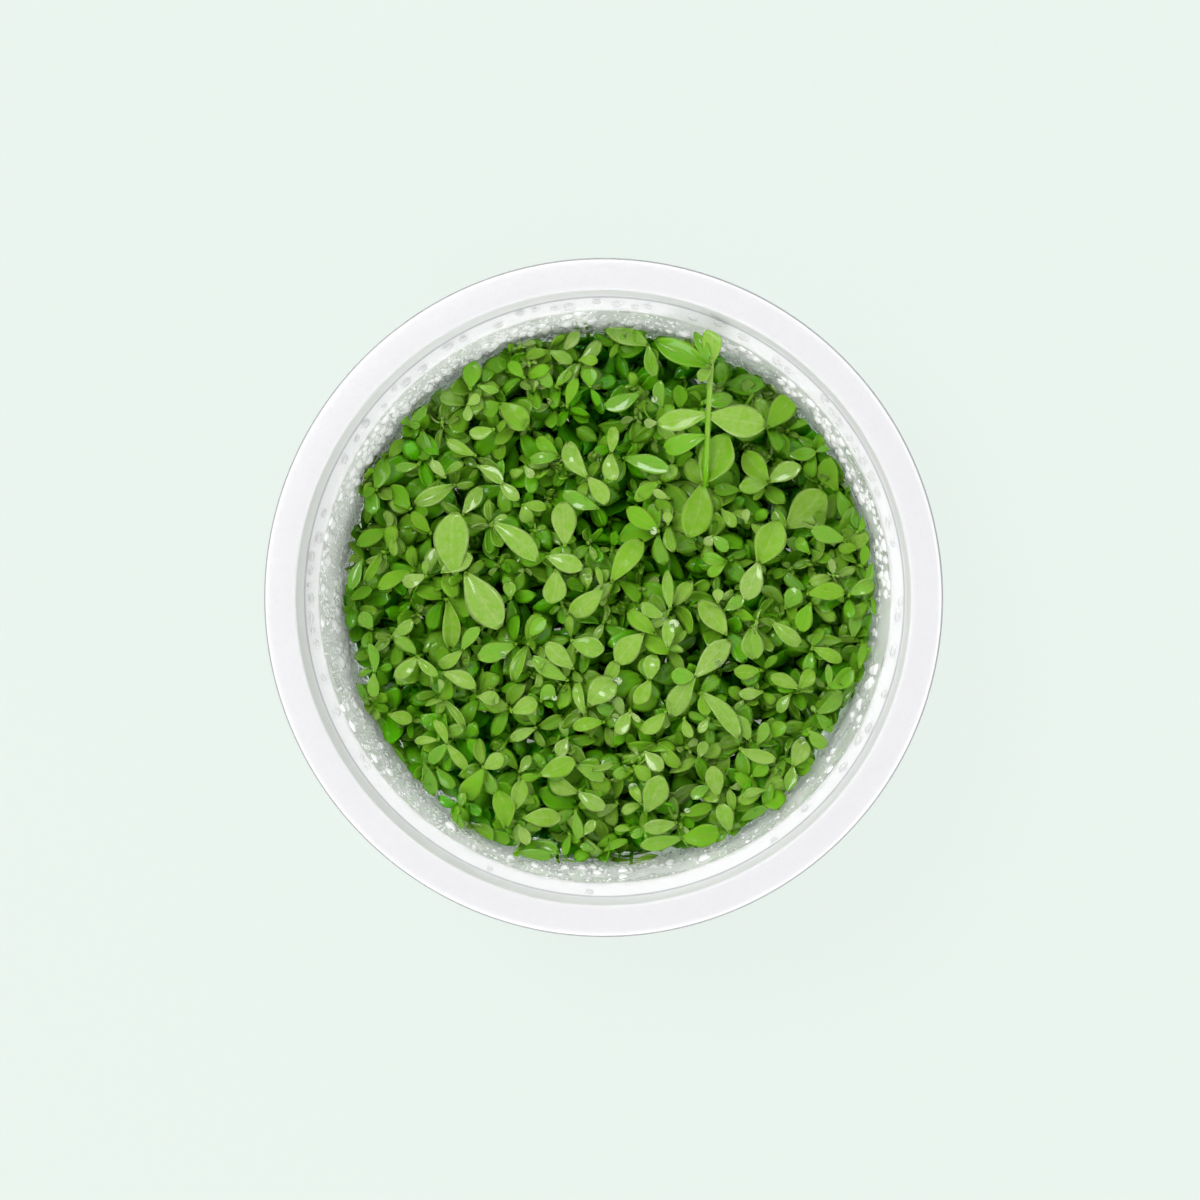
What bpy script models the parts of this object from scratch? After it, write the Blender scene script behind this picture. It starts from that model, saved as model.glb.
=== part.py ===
"""Monte Carlo baby tears growing in an open, clear culture cup.

The cup stands with the middle of its foot on the origin, +Z up, in metres. A disc of nutrient gel lies
on the cup's floor. Plantlets stand on the gel: each is a four-sided stem with small oval leaves in
opposite pairs, every pair turned a quarter against the next. One long shoot leans over the shoulder.
"""

import math
import random
from dataclasses import dataclass

import bmesh
import bpy
from mathutils import Matrix, Vector
from mathutils.bvhtree import BVHTree

# Cup, read up its inside, over the rim and down its outside
CUP_HEIGHT = 0.052
RIM_RADIUS = 0.050
FLANGE_THICKNESS = 0.0010
LIP_DEPTH = 0.0026
THROAT_TOP_RADIUS = 0.0452
THROAT_BASE_RADIUS = 0.0448
SHOULDER_TOP = 0.0466
SHOULDER_BASE = 0.0452
WALL_TOP_RADIUS = 0.0426
WALL_BASE_RADIUS = 0.0384
WALL_THICKNESS = 0.0009
FLOOR_TOP = 0.0022
FLOOR_THICKNESS = 0.0010
FLOOR_CORNER = 0.0026
FOOT_WIDTH = 0.0030
SMALL_ROUND = 0.0005
MIDDLE_ROUND = 0.0008
TURN_STEPS = 40

# Gel
GEL_TOP = 0.0140
MENISCUS_RISE = 0.0009
MENISCUS_WIDTH = 0.0022
TOUCH_GAP = 0.0003

# Plantlets: rings of radius, count and turn of the first one
RINGS = (
    (0.0115, 6, 0.20),
    (0.0227, 11, math.radians(48.0)),
    (0.0336, 16, 0.10),
)
RING_SWAY = 0.10
RADIUS_SWAY = 0.0007
LAYOUT_SEED = 11
WALL_GAP = 0.0005
TIP_LOW = 0.0315
TIP_HIGH = 0.0355
STEM_BASE_HALF = 0.0012
STEM_TIP_HALF = 0.0006
NODE_HALF = 0.0005

# Leaves
LEAF_HALF_THICKNESS = 0.00035
LEAF_MIDDLE = 0.56
LEAF_TIP_WIDTH = 0.34
LEAF_SLENDERNESS = 0.62
LEAF_SHORTEST = 0.0022
LEAF_SHORTENING = 0.94
LEAF_ROOT_WIDTH = 0.35
LEAF_ARCH = 0.07

# Pairs of leaves from the tip down: distance below the tip, rise above level in degrees, length
PAIRS = (
    (0.0003, 48.0, 0.0042),
    (0.0032, 24.0, 0.0070),
    (0.0066, 10.0, 0.0088),
    (0.0104, 4.0, 0.0094),
    (0.0144, 2.0, 0.0088),
)
INNER_PAIRS = 4
PAIR_SWAY = 0.12
RISE_SWAY = 6.0
TIP_LEAN = 0.0010
TIP_SPLAY = 0.055
PAIR_TWIST = math.radians(22.5)

# The long shoot that leans over the shoulder: the controls of its curve above its foot, and its pairs
SPRIG_RING = 1
SPRIG_CONTROLS = (
    Vector((0.0150, 0.0150, 0.0460)),
    Vector((0.0150, 0.0170, 0.0435)),
    Vector((0.0156, 0.0300, 0.0425)),
    Vector((0.0163, 0.0403, 0.0490)),
)
SPRIG_UPRIGHT = 0.0160
SPRIG_BENDS = (0.30, 0.41, 0.48, 0.54)
SPRIG_PAIRS = (
    (0.0004, 35.0, 0.0036),
    (0.0042, 25.0, 0.0050),
    (0.0088, 12.0, 0.0062),
    (0.0138, 8.0, 0.0074),
    (0.0190, 5.0, 0.0072),
)

CUP_COLOUR = (0.86, 0.89, 0.87)
GEL_COLOUR = (0.78, 0.80, 0.70)
LEAF_DARK = (0.045, 0.165, 0.012)
LEAF_LIGHT = (0.200, 0.420, 0.075)


def clear_scene():
    """Remove every object that the file opens with."""
    for item in list(bpy.data.objects):
        bpy.data.objects.remove(item, do_unlink=True)


def make_collection(name):
    """Make a collection in the scene for the object's parts."""
    collection = bpy.data.collections.new(name)
    bpy.context.scene.collection.children.link(collection)
    return collection


def make_material(name, colour, roughness, transmission=0.0):
    """Make a Principled material of one colour."""
    material = bpy.data.materials.new(name)
    material.use_nodes = True
    shader = material.node_tree.nodes["Principled BSDF"]
    shader.inputs["Base Color"].default_value = (*colour, 1.0)
    shader.inputs["Roughness"].default_value = roughness
    shader.inputs["Metallic"].default_value = 0.0
    shader.inputs["Transmission Weight"].default_value = transmission
    material.diffuse_color = (*colour, 1.0)
    return material


def add_object(name, mesh, material, collection, location=(0.0, 0.0, 0.0)):
    """Put a mesh in the collection as one named object."""
    item = bpy.data.objects.new(name, mesh)
    item.location = location
    mesh.materials.append(material)
    collection.objects.link(item)
    return item


def rounded_outline(corners):
    """Turn corners of (radius, height, round, steps) into points, with an arc at each rounded corner."""
    points = []
    for index, (x, z, fillet, steps) in enumerate(corners):
        here = Vector((x, z))
        if fillet == 0.0:
            points.append(here)
            continue
        back = (Vector(corners[index - 1][:2]) - here).normalized()
        ahead = (Vector(corners[index + 1][:2]) - here).normalized()
        half_angle = back.angle(ahead) / 2.0
        centre = here + (back + ahead).normalized() * fillet / math.sin(half_angle)
        reach = fillet / math.tan(half_angle)
        first = here + back * reach - centre
        last = here + ahead * reach - centre
        start = math.atan2(first.y, first.x)
        sweep = math.atan2(last.y, last.x) - start
        sweep = (sweep + math.pi) % math.tau - math.pi
        for step in range(steps + 1):
            angle = start + sweep * step / steps
            points.append(centre + fillet * Vector((math.cos(angle), math.sin(angle))))
    return points


def add_turned(name, outline, material, collection):
    """Turn an outline of (radius, height) points about the Z axis."""
    mesh = bpy.data.meshes.new(name)
    vertices = [(point.x, 0.0, point.y) for point in outline]
    edges = [(index, index + 1) for index in range(len(outline) - 1)]
    mesh.from_pydata(vertices, edges, [])
    item = add_object(name, mesh, material, collection)
    screw = item.modifiers.new("Turn", "SCREW")
    screw.axis = "Z"
    screw.steps = TURN_STEPS
    screw.render_steps = TURN_STEPS
    screw.use_merge_vertices = True
    screw.merge_threshold = 0.00005
    screw.use_smooth_shade = True
    return item


def wall_radius(height):
    """Inner radius of the cup at a height, up to the shoulder and in the throat above it."""
    if height > SHOULDER_TOP:
        return THROAT_BASE_RADIUS
    climb = (height - FLOOR_TOP) / (SHOULDER_BASE - FLOOR_TOP)
    return WALL_BASE_RADIUS + (WALL_TOP_RADIUS - WALL_BASE_RADIUS) * min(climb, 1.0)


def inside_cup(point):
    """Tell whether a point is clear of the cup's wall and of the gel."""
    facet = math.cos(math.pi / TURN_STEPS)
    clear_of_wall = math.hypot(point.x, point.y) < wall_radius(point.z) * facet - WALL_GAP
    return clear_of_wall and point.z > GEL_TOP + MENISCUS_RISE + TOUCH_GAP


def cup_outline():
    """Section of the cup: up its inside from the middle of the floor, over the rim, down to the foot."""
    shoulder_drop = SHOULDER_TOP - WALL_THICKNESS
    ledge_drop = SHOULDER_BASE - WALL_THICKNESS
    foot_radius = WALL_BASE_RADIUS + WALL_THICKNESS - 0.0002
    return rounded_outline([
        (0.0, FLOOR_TOP, 0.0, 0),
        (WALL_BASE_RADIUS, FLOOR_TOP, FLOOR_CORNER, 2),
        (WALL_TOP_RADIUS, SHOULDER_BASE, SMALL_ROUND, 1),
        (THROAT_BASE_RADIUS, SHOULDER_TOP, SMALL_ROUND, 1),
        (THROAT_TOP_RADIUS, CUP_HEIGHT, SMALL_ROUND, 1),
        (RIM_RADIUS, CUP_HEIGHT, MIDDLE_ROUND, 2),
        (RIM_RADIUS, CUP_HEIGHT - LIP_DEPTH, 0.0, 0),
        (RIM_RADIUS - WALL_THICKNESS, CUP_HEIGHT - LIP_DEPTH, 0.0, 0),
        (RIM_RADIUS - WALL_THICKNESS, CUP_HEIGHT - FLANGE_THICKNESS, 0.0, 0),
        (THROAT_TOP_RADIUS + WALL_THICKNESS, CUP_HEIGHT - FLANGE_THICKNESS, MIDDLE_ROUND, 1),
        (THROAT_BASE_RADIUS + WALL_THICKNESS, shoulder_drop, SMALL_ROUND, 1),
        (WALL_TOP_RADIUS + WALL_THICKNESS, ledge_drop, SMALL_ROUND, 1),
        (foot_radius, 0.0, MIDDLE_ROUND, 2),
        (foot_radius - FOOT_WIDTH, 0.0, 0.0, 0),
        (foot_radius - FOOT_WIDTH - 0.0006, FLOOR_TOP - FLOOR_THICKNESS, 0.0, 0),
        (0.0, FLOOR_TOP - FLOOR_THICKNESS, 0.0, 0),
    ])


def gel_outline():
    """Section of the gel: a flat top, a raised rim at the wall, and the form of the cup's floor corner."""
    top_radius = wall_radius(GEL_TOP + MENISCUS_RISE) - TOUCH_GAP
    floor = FLOOR_TOP + TOUCH_GAP
    return rounded_outline([
        (0.0, GEL_TOP, 0.0, 0),
        (top_radius - MENISCUS_WIDTH, GEL_TOP, 0.0, 0),
        (top_radius, GEL_TOP + MENISCUS_RISE, 0.0, 0),
        (WALL_BASE_RADIUS - TOUCH_GAP, floor, FLOOR_CORNER, 2),
        (0.0, floor, 0.0, 0),
    ])


def ring_centres(rng):
    """Centres of the plantlets on jittered rings, and the place in the list of the one that leans."""
    centres = [Vector((0.0, 0.0))]
    leaning = 0
    for ring, (radius, count, turn) in enumerate(RINGS):
        if ring == SPRIG_RING:
            leaning = len(centres)
        for index in range(count):
            angle = turn + math.tau * (index + rng.uniform(-RING_SWAY, RING_SWAY)) / count
            reach = radius + rng.uniform(-RADIUS_SWAY, RADIUS_SWAY)
            centres.append(Vector((reach * math.cos(angle), reach * math.sin(angle))))
    return centres, leaning


@dataclass
class Section:
    """A four-sided section: its middle and the half sizes across it and up it."""

    middle: Vector
    across: Vector
    up: Vector

    def corner(self, offset):
        """Corner of the section on the same side as an offset from its middle."""
        side = 1.0 if offset.dot(self.across) > 0.0 else -1.0
        rise = 1.0 if offset.dot(self.up) > 0.0 else -1.0
        return self.middle + self.across * side + self.up * rise

    def corners(self):
        """Four corners of the section, counterclockwise for someone who looks back along it."""
        signs = ((-1.0, -1.0), (1.0, -1.0), (1.0, 1.0), (-1.0, 1.0))
        return [self.middle + self.across * side + self.up * rise for side, rise in signs]


def extrude_to(mesh, face, section):
    """Extrude a four-sided face until it fills a section, and return the new end face."""
    before = face.calc_center_median()
    face = bmesh.ops.extrude_discrete_faces(mesh, faces=[face])["faces"][0]
    starts = [(vertex.co - before).normalized() for vertex in face.verts]
    corners = section.corners()
    ends = [(corner - section.middle).normalized() for corner in corners]
    shift = min(range(4), key=lambda turn: sum((starts[i] - ends[(i + turn) % 4]).length for i in range(4)))
    for index, vertex in enumerate(face.verts):
        vertex.co = corners[(index + shift) % 4]
    return face


def sides_of(end):
    """The four side faces that meet an end face."""
    return [face for edge in end.edges for face in edge.link_faces if face != end]


def curve_point(path, place):
    """Point on the smooth curve through a path's controls, for a place from 0 to 1."""
    controls = list(path)
    while len(controls) > 1:
        controls = [a.lerp(b, place) for a, b in zip(controls, controls[1:])]
    return controls[0]


def curve_length(path):
    """Length of the smooth curve through a path's controls."""
    points = [curve_point(path, step / 40.0) for step in range(41)]
    return sum((b - a).length for a, b in zip(points, points[1:]))


def curve_direction(path, place):
    """Direction of the curve at a place."""
    reach = 0.01
    return (curve_point(path, place + reach) - curve_point(path, place - reach)).normalized()


def stem_section(path, place, turn):
    """Square section of the stem at a place along its path."""
    tangent = curve_direction(path, place)
    level = Vector((math.cos(turn), math.sin(turn), 0.0))
    across = (level - tangent * level.dot(tangent)).normalized()
    half = STEM_BASE_HALF + (STEM_TIP_HALF - STEM_BASE_HALF) * min(place, 1.0)
    return Section(curve_point(path, place), across * half, tangent.cross(across) * half)


def grow_stem(path, bends, turn):
    """Start a stem as a cube drawn out from the foot to its first bend, then extrude it to the others."""
    mesh = bmesh.new()
    bmesh.ops.create_cube(mesh, size=STEM_BASE_HALF, matrix=Matrix.Rotation(turn, 4, "Z"))
    foot = stem_section(path, 0.0, turn)
    first = stem_section(path, bends[0], turn)
    for vertex in mesh.verts:
        vertex.co = (first if vertex.co.z > 0.0 else foot).corner(vertex.co)
    end = max(mesh.faces, key=lambda face: face.calc_center_median().z)
    for place in bends[1:]:
        end = extrude_to(mesh, end, stem_section(path, place, turn))
    return mesh, end


def leaf_sections(root, direction, length, margin=0.0):
    """Two sections of a leaf, one at its widest and one at its blunt tip, with a margin all round."""
    world_up = Vector((0.0, 0.0, 1.0))
    blade_up = (world_up - direction * direction.z).normalized()
    across = blade_up.cross(direction)
    half_width = length * LEAF_SLENDERNESS / 2.0
    half_thickness = LEAF_HALF_THICKNESS + margin
    widest = root + direction * (length * LEAF_MIDDLE) + blade_up * (length * LEAF_ARCH)
    tip = root + direction * (length + margin)
    return [
        Section(widest, across * (half_width + margin), blade_up * half_thickness),
        Section(tip, across * (half_width * LEAF_TIP_WIDTH + margin), blade_up * half_thickness),
    ]


def outline_tree(root, sections):
    """Search tree of a leaf's faces, for testing what it would touch."""
    start = Section(root, sections[0].across * LEAF_ROOT_WIDTH, sections[0].up)
    points = [corner for section in (start, *sections) for corner in section.corners()]
    faces = [(8, 9, 10, 11)]
    for ring in (0, 4):
        faces += [(ring + i, ring + (i + 1) % 4, ring + 4 + (i + 1) % 4, ring + 4 + i) for i in range(4)]
    return BVHTree.FromPolygons(points, faces)


class Plantlet:
    """One stem with its pairs of leaves, grown from the foot up as a single closed mesh.

    With a twist, each pair stands a quarter turn and the twist on from the one below it. Without one,
    all the pairs stand to the same two sides, as on a shoot that leans over.
    """

    def __init__(self, name, path, pairs, bends, turn, twist):
        """Grow the stem and keep the side faces that its leaves grow from."""
        self.name = name
        self.path = path
        self.pairs = pairs
        length = curve_length(path)
        node_reach = NODE_HALF / length
        places = [1.0 - drop / length for drop, rise, leaf_length in reversed(pairs)]
        self.mesh, end = grow_stem(path, [*bends, places[0] - node_reach], turn)
        self.nodes = []
        for index, place in enumerate(places):
            node_turn = turn + twist * index
            if self.nodes:
                end = extrude_to(self.mesh, end, stem_section(path, place - node_reach, node_turn))
            end = extrude_to(self.mesh, end, stem_section(path, place + node_reach, node_turn))
            section = stem_section(path, place, node_turn)
            if twist and index % 2:
                section = Section(section.middle, section.up, -section.across)
            self.nodes.append((place, section, sides_of(end)))
        self.tree = BVHTree.FromBMesh(self.mesh)

    def grow_pair(self, level, others):
        """Grow the pair of leaves at a level below the tip, as long as there is room for."""
        drop, rise, length = self.pairs[level]
        place, section, sides = self.nodes[-1 - level]
        tangent = curve_direction(self.path, place)
        outward = section.across.normalized()
        sides = sorted(sides, key=lambda side: (side.calc_center_median() - section.middle).dot(outward))
        for face, away in ((sides[0], -outward), (sides[-1], outward)):
            direction = away * math.cos(rise) + tangent * math.sin(rise)
            for leaf_section in leaf_that_fits(face.calc_center_median(), direction, length, others):
                face = extrude_to(self.mesh, face, leaf_section)
        self.tree = BVHTree.FromBMesh(self.mesh)

    def finished_mesh(self, origin):
        """Give the grown mesh, measured from the plantlet's foot."""
        result = bpy.data.meshes.new(self.name)
        self.mesh.normal_update()
        self.mesh.to_mesh(result)
        self.mesh.free()
        result.transform(Matrix.Translation(-origin))
        return result


def leaf_that_fits(root, direction, length, others):
    """Shorten a leaf until it touches nothing; give no sections where there is no room for one."""
    while length > LEAF_SHORTEST:
        padded = leaf_sections(root, direction, length, TOUCH_GAP)
        tree = outline_tree(root, padded)
        in_cup = all(inside_cup(corner) for section in padded for corner in section.corners())
        if in_cup and not any(tree.overlap(other.tree) for other in others):
            return leaf_sections(root, direction, length)
        length *= LEAF_SHORTENING
    return []


def varied_pairs(rng, count):
    """Leaf pairs of one plantlet, each a little different in size and rise, with the rise in radians."""
    pairs = []
    for drop, rise, length in PAIRS[:count]:
        size = 1.0 + rng.uniform(-PAIR_SWAY, PAIR_SWAY)
        tilt = math.radians(rise + rng.uniform(-RISE_SWAY, RISE_SWAY))
        pairs.append((drop, tilt, length * size))
    return pairs


def plain_path(rng, centre):
    """A stem's path from the gel to a tip that leans a little to one side."""
    foot = Vector((centre.x, centre.y, GEL_TOP + TOUCH_GAP))
    sway = Vector((rng.uniform(-TIP_LEAN, TIP_LEAN), rng.uniform(-TIP_LEAN, TIP_LEAN)))
    lean = (centre * TIP_SPLAY + sway).to_3d()
    tip = Vector((centre.x, centre.y, rng.uniform(TIP_LOW, TIP_HIGH))) + lean
    middle = Vector((foot.x, foot.y, (foot.z + tip.z) / 2.0))
    return [foot, middle, tip]


def plant_stems(rng):
    """Grow the stems of all the plantlets, with the leaning sprig among them."""
    centres, leaning = ring_centres(rng)
    outer_start = len(centres) - RINGS[-1][1]
    plantlets = []
    for index, centre in enumerate(centres):
        if index == leaning:
            foot = Vector((centre.x, centre.y, GEL_TOP + TOUCH_GAP))
            path = [foot, foot + Vector((0.0, 0.0, SPRIG_UPRIGHT)), *SPRIG_CONTROLS]
            pairs = [(drop, math.radians(rise), length) for drop, rise, length in SPRIG_PAIRS]
            plantlets.append(Plantlet("leaning_sprig", path, pairs, SPRIG_BENDS, 0.0, 0.0))
            continue
        name = f"plantlet_{index + (index < leaning):02d}"
        pairs = varied_pairs(rng, len(PAIRS) if index >= outer_start else INNER_PAIRS)
        turn = rng.uniform(0.0, math.pi / 2.0)
        plantlets.append(Plantlet(name, plain_path(rng, centre), pairs, (), turn, PAIR_TWIST))
    return plantlets


def build_plantlets(collection):
    """Build every plantlet as its own object: all the stems first, then the leaves from the top down."""
    rng = random.Random(LAYOUT_SEED)
    plantlets = plant_stems(rng)
    for level in range(len(PAIRS)):
        for plantlet in plantlets:
            if level < len(plantlet.pairs):
                plantlet.grow_pair(level, [other for other in plantlets if other is not plantlet])
    for plantlet in plantlets:
        shade = rng.random()
        colour = [dark + (light - dark) * shade for dark, light in zip(LEAF_DARK, LEAF_LIGHT)]
        material = make_material(plantlet.name, colour, 0.35)
        foot = plantlet.path[0]
        add_object(plantlet.name, plantlet.finished_mesh(foot), material, collection, foot)


def main():
    """Build the cup, the gel and the plantlets."""
    clear_scene()
    collection = make_collection("monte_carlo_baby_tears")
    add_turned("cup", cup_outline(), make_material("cup", CUP_COLOUR, 0.12, 0.85), collection)
    add_turned("gel", gel_outline(), make_material("gel", GEL_COLOUR, 0.20, 0.50), collection)
    build_plantlets(collection)


main()
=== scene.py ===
"""Looks of a culture cup of Monte Carlo baby tears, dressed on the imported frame.

Metres, +Z up, with the middle of the cup's foot on the origin. A clear moulded cup with a milky flange
holds a disc of nutrient gel. Thin shoots with small oval leaves in opposite pairs stand on the gel and
fill the cup, and water has condensed on its wall. The camera looks straight down from a little to the
right of and above the middle, as in the photograph.
"""

import functools
import logging
import math
from collections.abc import Callable, Iterable, Iterator
from contextlib import contextmanager
from dataclasses import dataclass, field
from enum import Enum
from typing import ClassVar

import bpy
import numpy as np
from mathutils import Matrix, Vector


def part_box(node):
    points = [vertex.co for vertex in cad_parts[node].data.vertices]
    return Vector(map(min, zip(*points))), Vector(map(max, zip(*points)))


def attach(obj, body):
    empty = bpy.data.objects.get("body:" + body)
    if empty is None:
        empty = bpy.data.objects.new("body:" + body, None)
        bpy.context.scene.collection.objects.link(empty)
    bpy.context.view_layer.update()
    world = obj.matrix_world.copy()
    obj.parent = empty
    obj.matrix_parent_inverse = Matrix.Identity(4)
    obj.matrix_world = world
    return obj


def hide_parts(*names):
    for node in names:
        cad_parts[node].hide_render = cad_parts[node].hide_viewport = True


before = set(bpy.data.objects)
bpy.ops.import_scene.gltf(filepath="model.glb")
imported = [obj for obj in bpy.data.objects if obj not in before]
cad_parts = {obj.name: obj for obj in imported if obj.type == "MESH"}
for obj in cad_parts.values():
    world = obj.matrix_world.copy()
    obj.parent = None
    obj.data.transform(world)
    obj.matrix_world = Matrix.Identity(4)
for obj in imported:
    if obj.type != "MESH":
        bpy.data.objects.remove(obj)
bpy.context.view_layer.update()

LOG = logging.getLogger("baby_tears")
MM = 0.001
BODY = "root"
TINY = 1e-9
SHARP_EDGE = math.radians(50.0)
Array = np.ndarray
Socket = bpy.types.NodeSocket
Pair = tuple[float, float]
Triple = tuple[float, float, float]
Colour = Triple
UP = np.array((0.0, 0.0, 1.0))


class Slot(Enum):
    """Names of material slots."""

    CUP = "cup_plastic"
    GEL = "gel"
    LEAF = "leaf"


def rest_selection() -> None:
    """Leave edit mode and deselect everything, because an operator acts on all that is selected."""
    if bpy.context.object is not None and bpy.context.object.mode != "OBJECT":
        bpy.ops.object.mode_set(mode="OBJECT")
    bpy.ops.object.select_all(action="DESELECT")


def pick(item: bpy.types.Object) -> None:
    """Make an object the only selected one, and the active one.

    Args:
        item: Object to pick.
    """
    rest_selection()
    item.select_set(True)
    bpy.context.view_layer.objects.active = item


@contextmanager
def editing(item: bpy.types.Object) -> Iterator[None]:
    """Work on a mesh in edit mode, and come back to object mode.

    Args:
        item: Mesh object to edit. What its mesh has selected stays selected.

    Yields:
        Nothing.
    """
    pick(item)
    bpy.ops.object.mode_set(mode="EDIT")
    yield
    bpy.ops.object.mode_set(mode="OBJECT")


def select_points(item: bpy.types.Object, chosen: Callable[[bpy.types.MeshVertex], bool]) -> None:
    """Select the points of a mesh that pass a test, and nothing else.

    Args:
        item: Mesh object, in object mode.
        chosen: Test of a point.
    """
    for element in (*item.data.edges, *item.data.polygons):
        element.select = False
    for vertex in item.data.vertices:
        vertex.select = chosen(vertex)


def place_in_mesh(item: bpy.types.Object) -> None:
    """Move an object's place, turn and scale into its mesh."""
    pick(item)
    bpy.ops.object.transform_apply(location=True, rotation=True, scale=True)


def add_object(name: str, data: bpy.types.ID) -> bpy.types.Object:
    """Put a new object in the scene.

    Args:
        name: Name of the object.
        data: Its mesh, light or camera.

    Returns:
        The object.
    """
    item = bpy.data.objects.new(name, data)
    bpy.context.scene.collection.objects.link(item)
    return item


def level_sway(rng: np.random.Generator, spread: float) -> Vector:
    """Random level shift, with its spread in metres."""
    return Vector((*rng.normal(0.0, spread, 2), 0.0))


def level_direction(angle: float) -> Array:
    """Level direction at an angle from +X towards +Y."""
    return np.array((math.cos(angle), math.sin(angle), 0.0))


def hand_over(item: bpy.types.Object, material: bpy.types.Material, slot: Slot | None, *nodes: str) -> None:
    """Dress a finished piece, let it ride on the cup, and hide the solids that it stands for.

    Args:
        item: Finished piece.
        material: Its finish.
        slot: Material slot, if the piece takes one; not used.
        nodes: Names of the solids that it replaces.
    """
    if material.name not in item.data.materials:
        item.data.materials.append(material)
    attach(item, BODY)
    if nodes:
        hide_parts(*nodes)
    LOG.info("%s: %d faces", item.name, len(item.data.polygons))


@dataclass(frozen=True)
class PhotoView:
    """Where the photograph was taken from, and what its pixels show.

    The rim is a round of 340.3 pixels in the photograph. The shoulder and the wall below it lie off its
    middle, which puts the camera over a point to the right of and above the middle of the cup.
    """

    image_size: float = 1200.0
    rim_centre_x: float = 602.2
    rim_centre_y: float = 598.6
    rim_pixels: float = 340.3
    rim_radius: float = 50.0 * MM
    rim_height: float = 52.0 * MM
    distance: float = 500.0 * MM
    station_x: float = 18.0 * MM
    station_y: float = 14.0 * MM
    sensor: float = 36.0
    nearest: float = 10.0 * MM

    @property
    def station(self) -> Vector:
        """Place of the camera."""
        return Vector((self.station_x, self.station_y, self.rim_height + self.distance))

    @property
    def pixel(self) -> float:
        """Size of a pixel at the height of the rim, in metres."""
        return self.rim_radius / self.rim_pixels

    @property
    def target(self) -> Vector:
        """Point at the height of the rim that the middle of the photograph shows.

        Returns:
            The point.
        """
        half = self.image_size / 2.0
        across = (half - self.rim_centre_x) * self.pixel
        up = (self.rim_centre_y - half) * self.pixel
        return Vector((across, up, self.rim_height))

    @property
    def turn(self) -> Matrix:
        """Turn of the camera: it looks at the target, with +Y up in the picture.

        Returns:
            The turn.
        """
        ahead = (self.target - self.station).normalized()
        right = ahead.cross(Vector((0.0, 1.0, 0.0))).normalized()
        return Matrix((right, right.cross(ahead), -ahead)).transposed()

    @property
    def focal_pixels(self) -> float:
        """Focal length in pixels."""
        return (self.target - self.station).length / self.pixel

    def point(self, x: float, y: float, height: float) -> Vector:
        """Find what a pixel shows at a height.

        Args:
            x: Pixels from the photograph's left edge.
            y: Pixels from its top edge.
            height: Height of the point that is looked for.

        Returns:
            The point.
        """
        half = self.image_size / 2.0
        ray = self.turn @ Vector((x - half, half - y, -self.focal_pixels))
        return self.station + ray * ((height - self.station.z) / ray.z)

    def add_camera(self) -> None:
        """Add the camera and make it the scene's own."""
        data = bpy.data.cameras.new("photo_view")
        data.sensor_width = self.sensor
        data.lens = self.sensor * self.focal_pixels / self.image_size
        data.clip_start = self.nearest
        camera = add_object("photo_view", data)
        camera.matrix_world = Matrix.Translation(self.station) @ self.turn.to_4x4()
        bpy.context.scene.camera = camera


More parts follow.
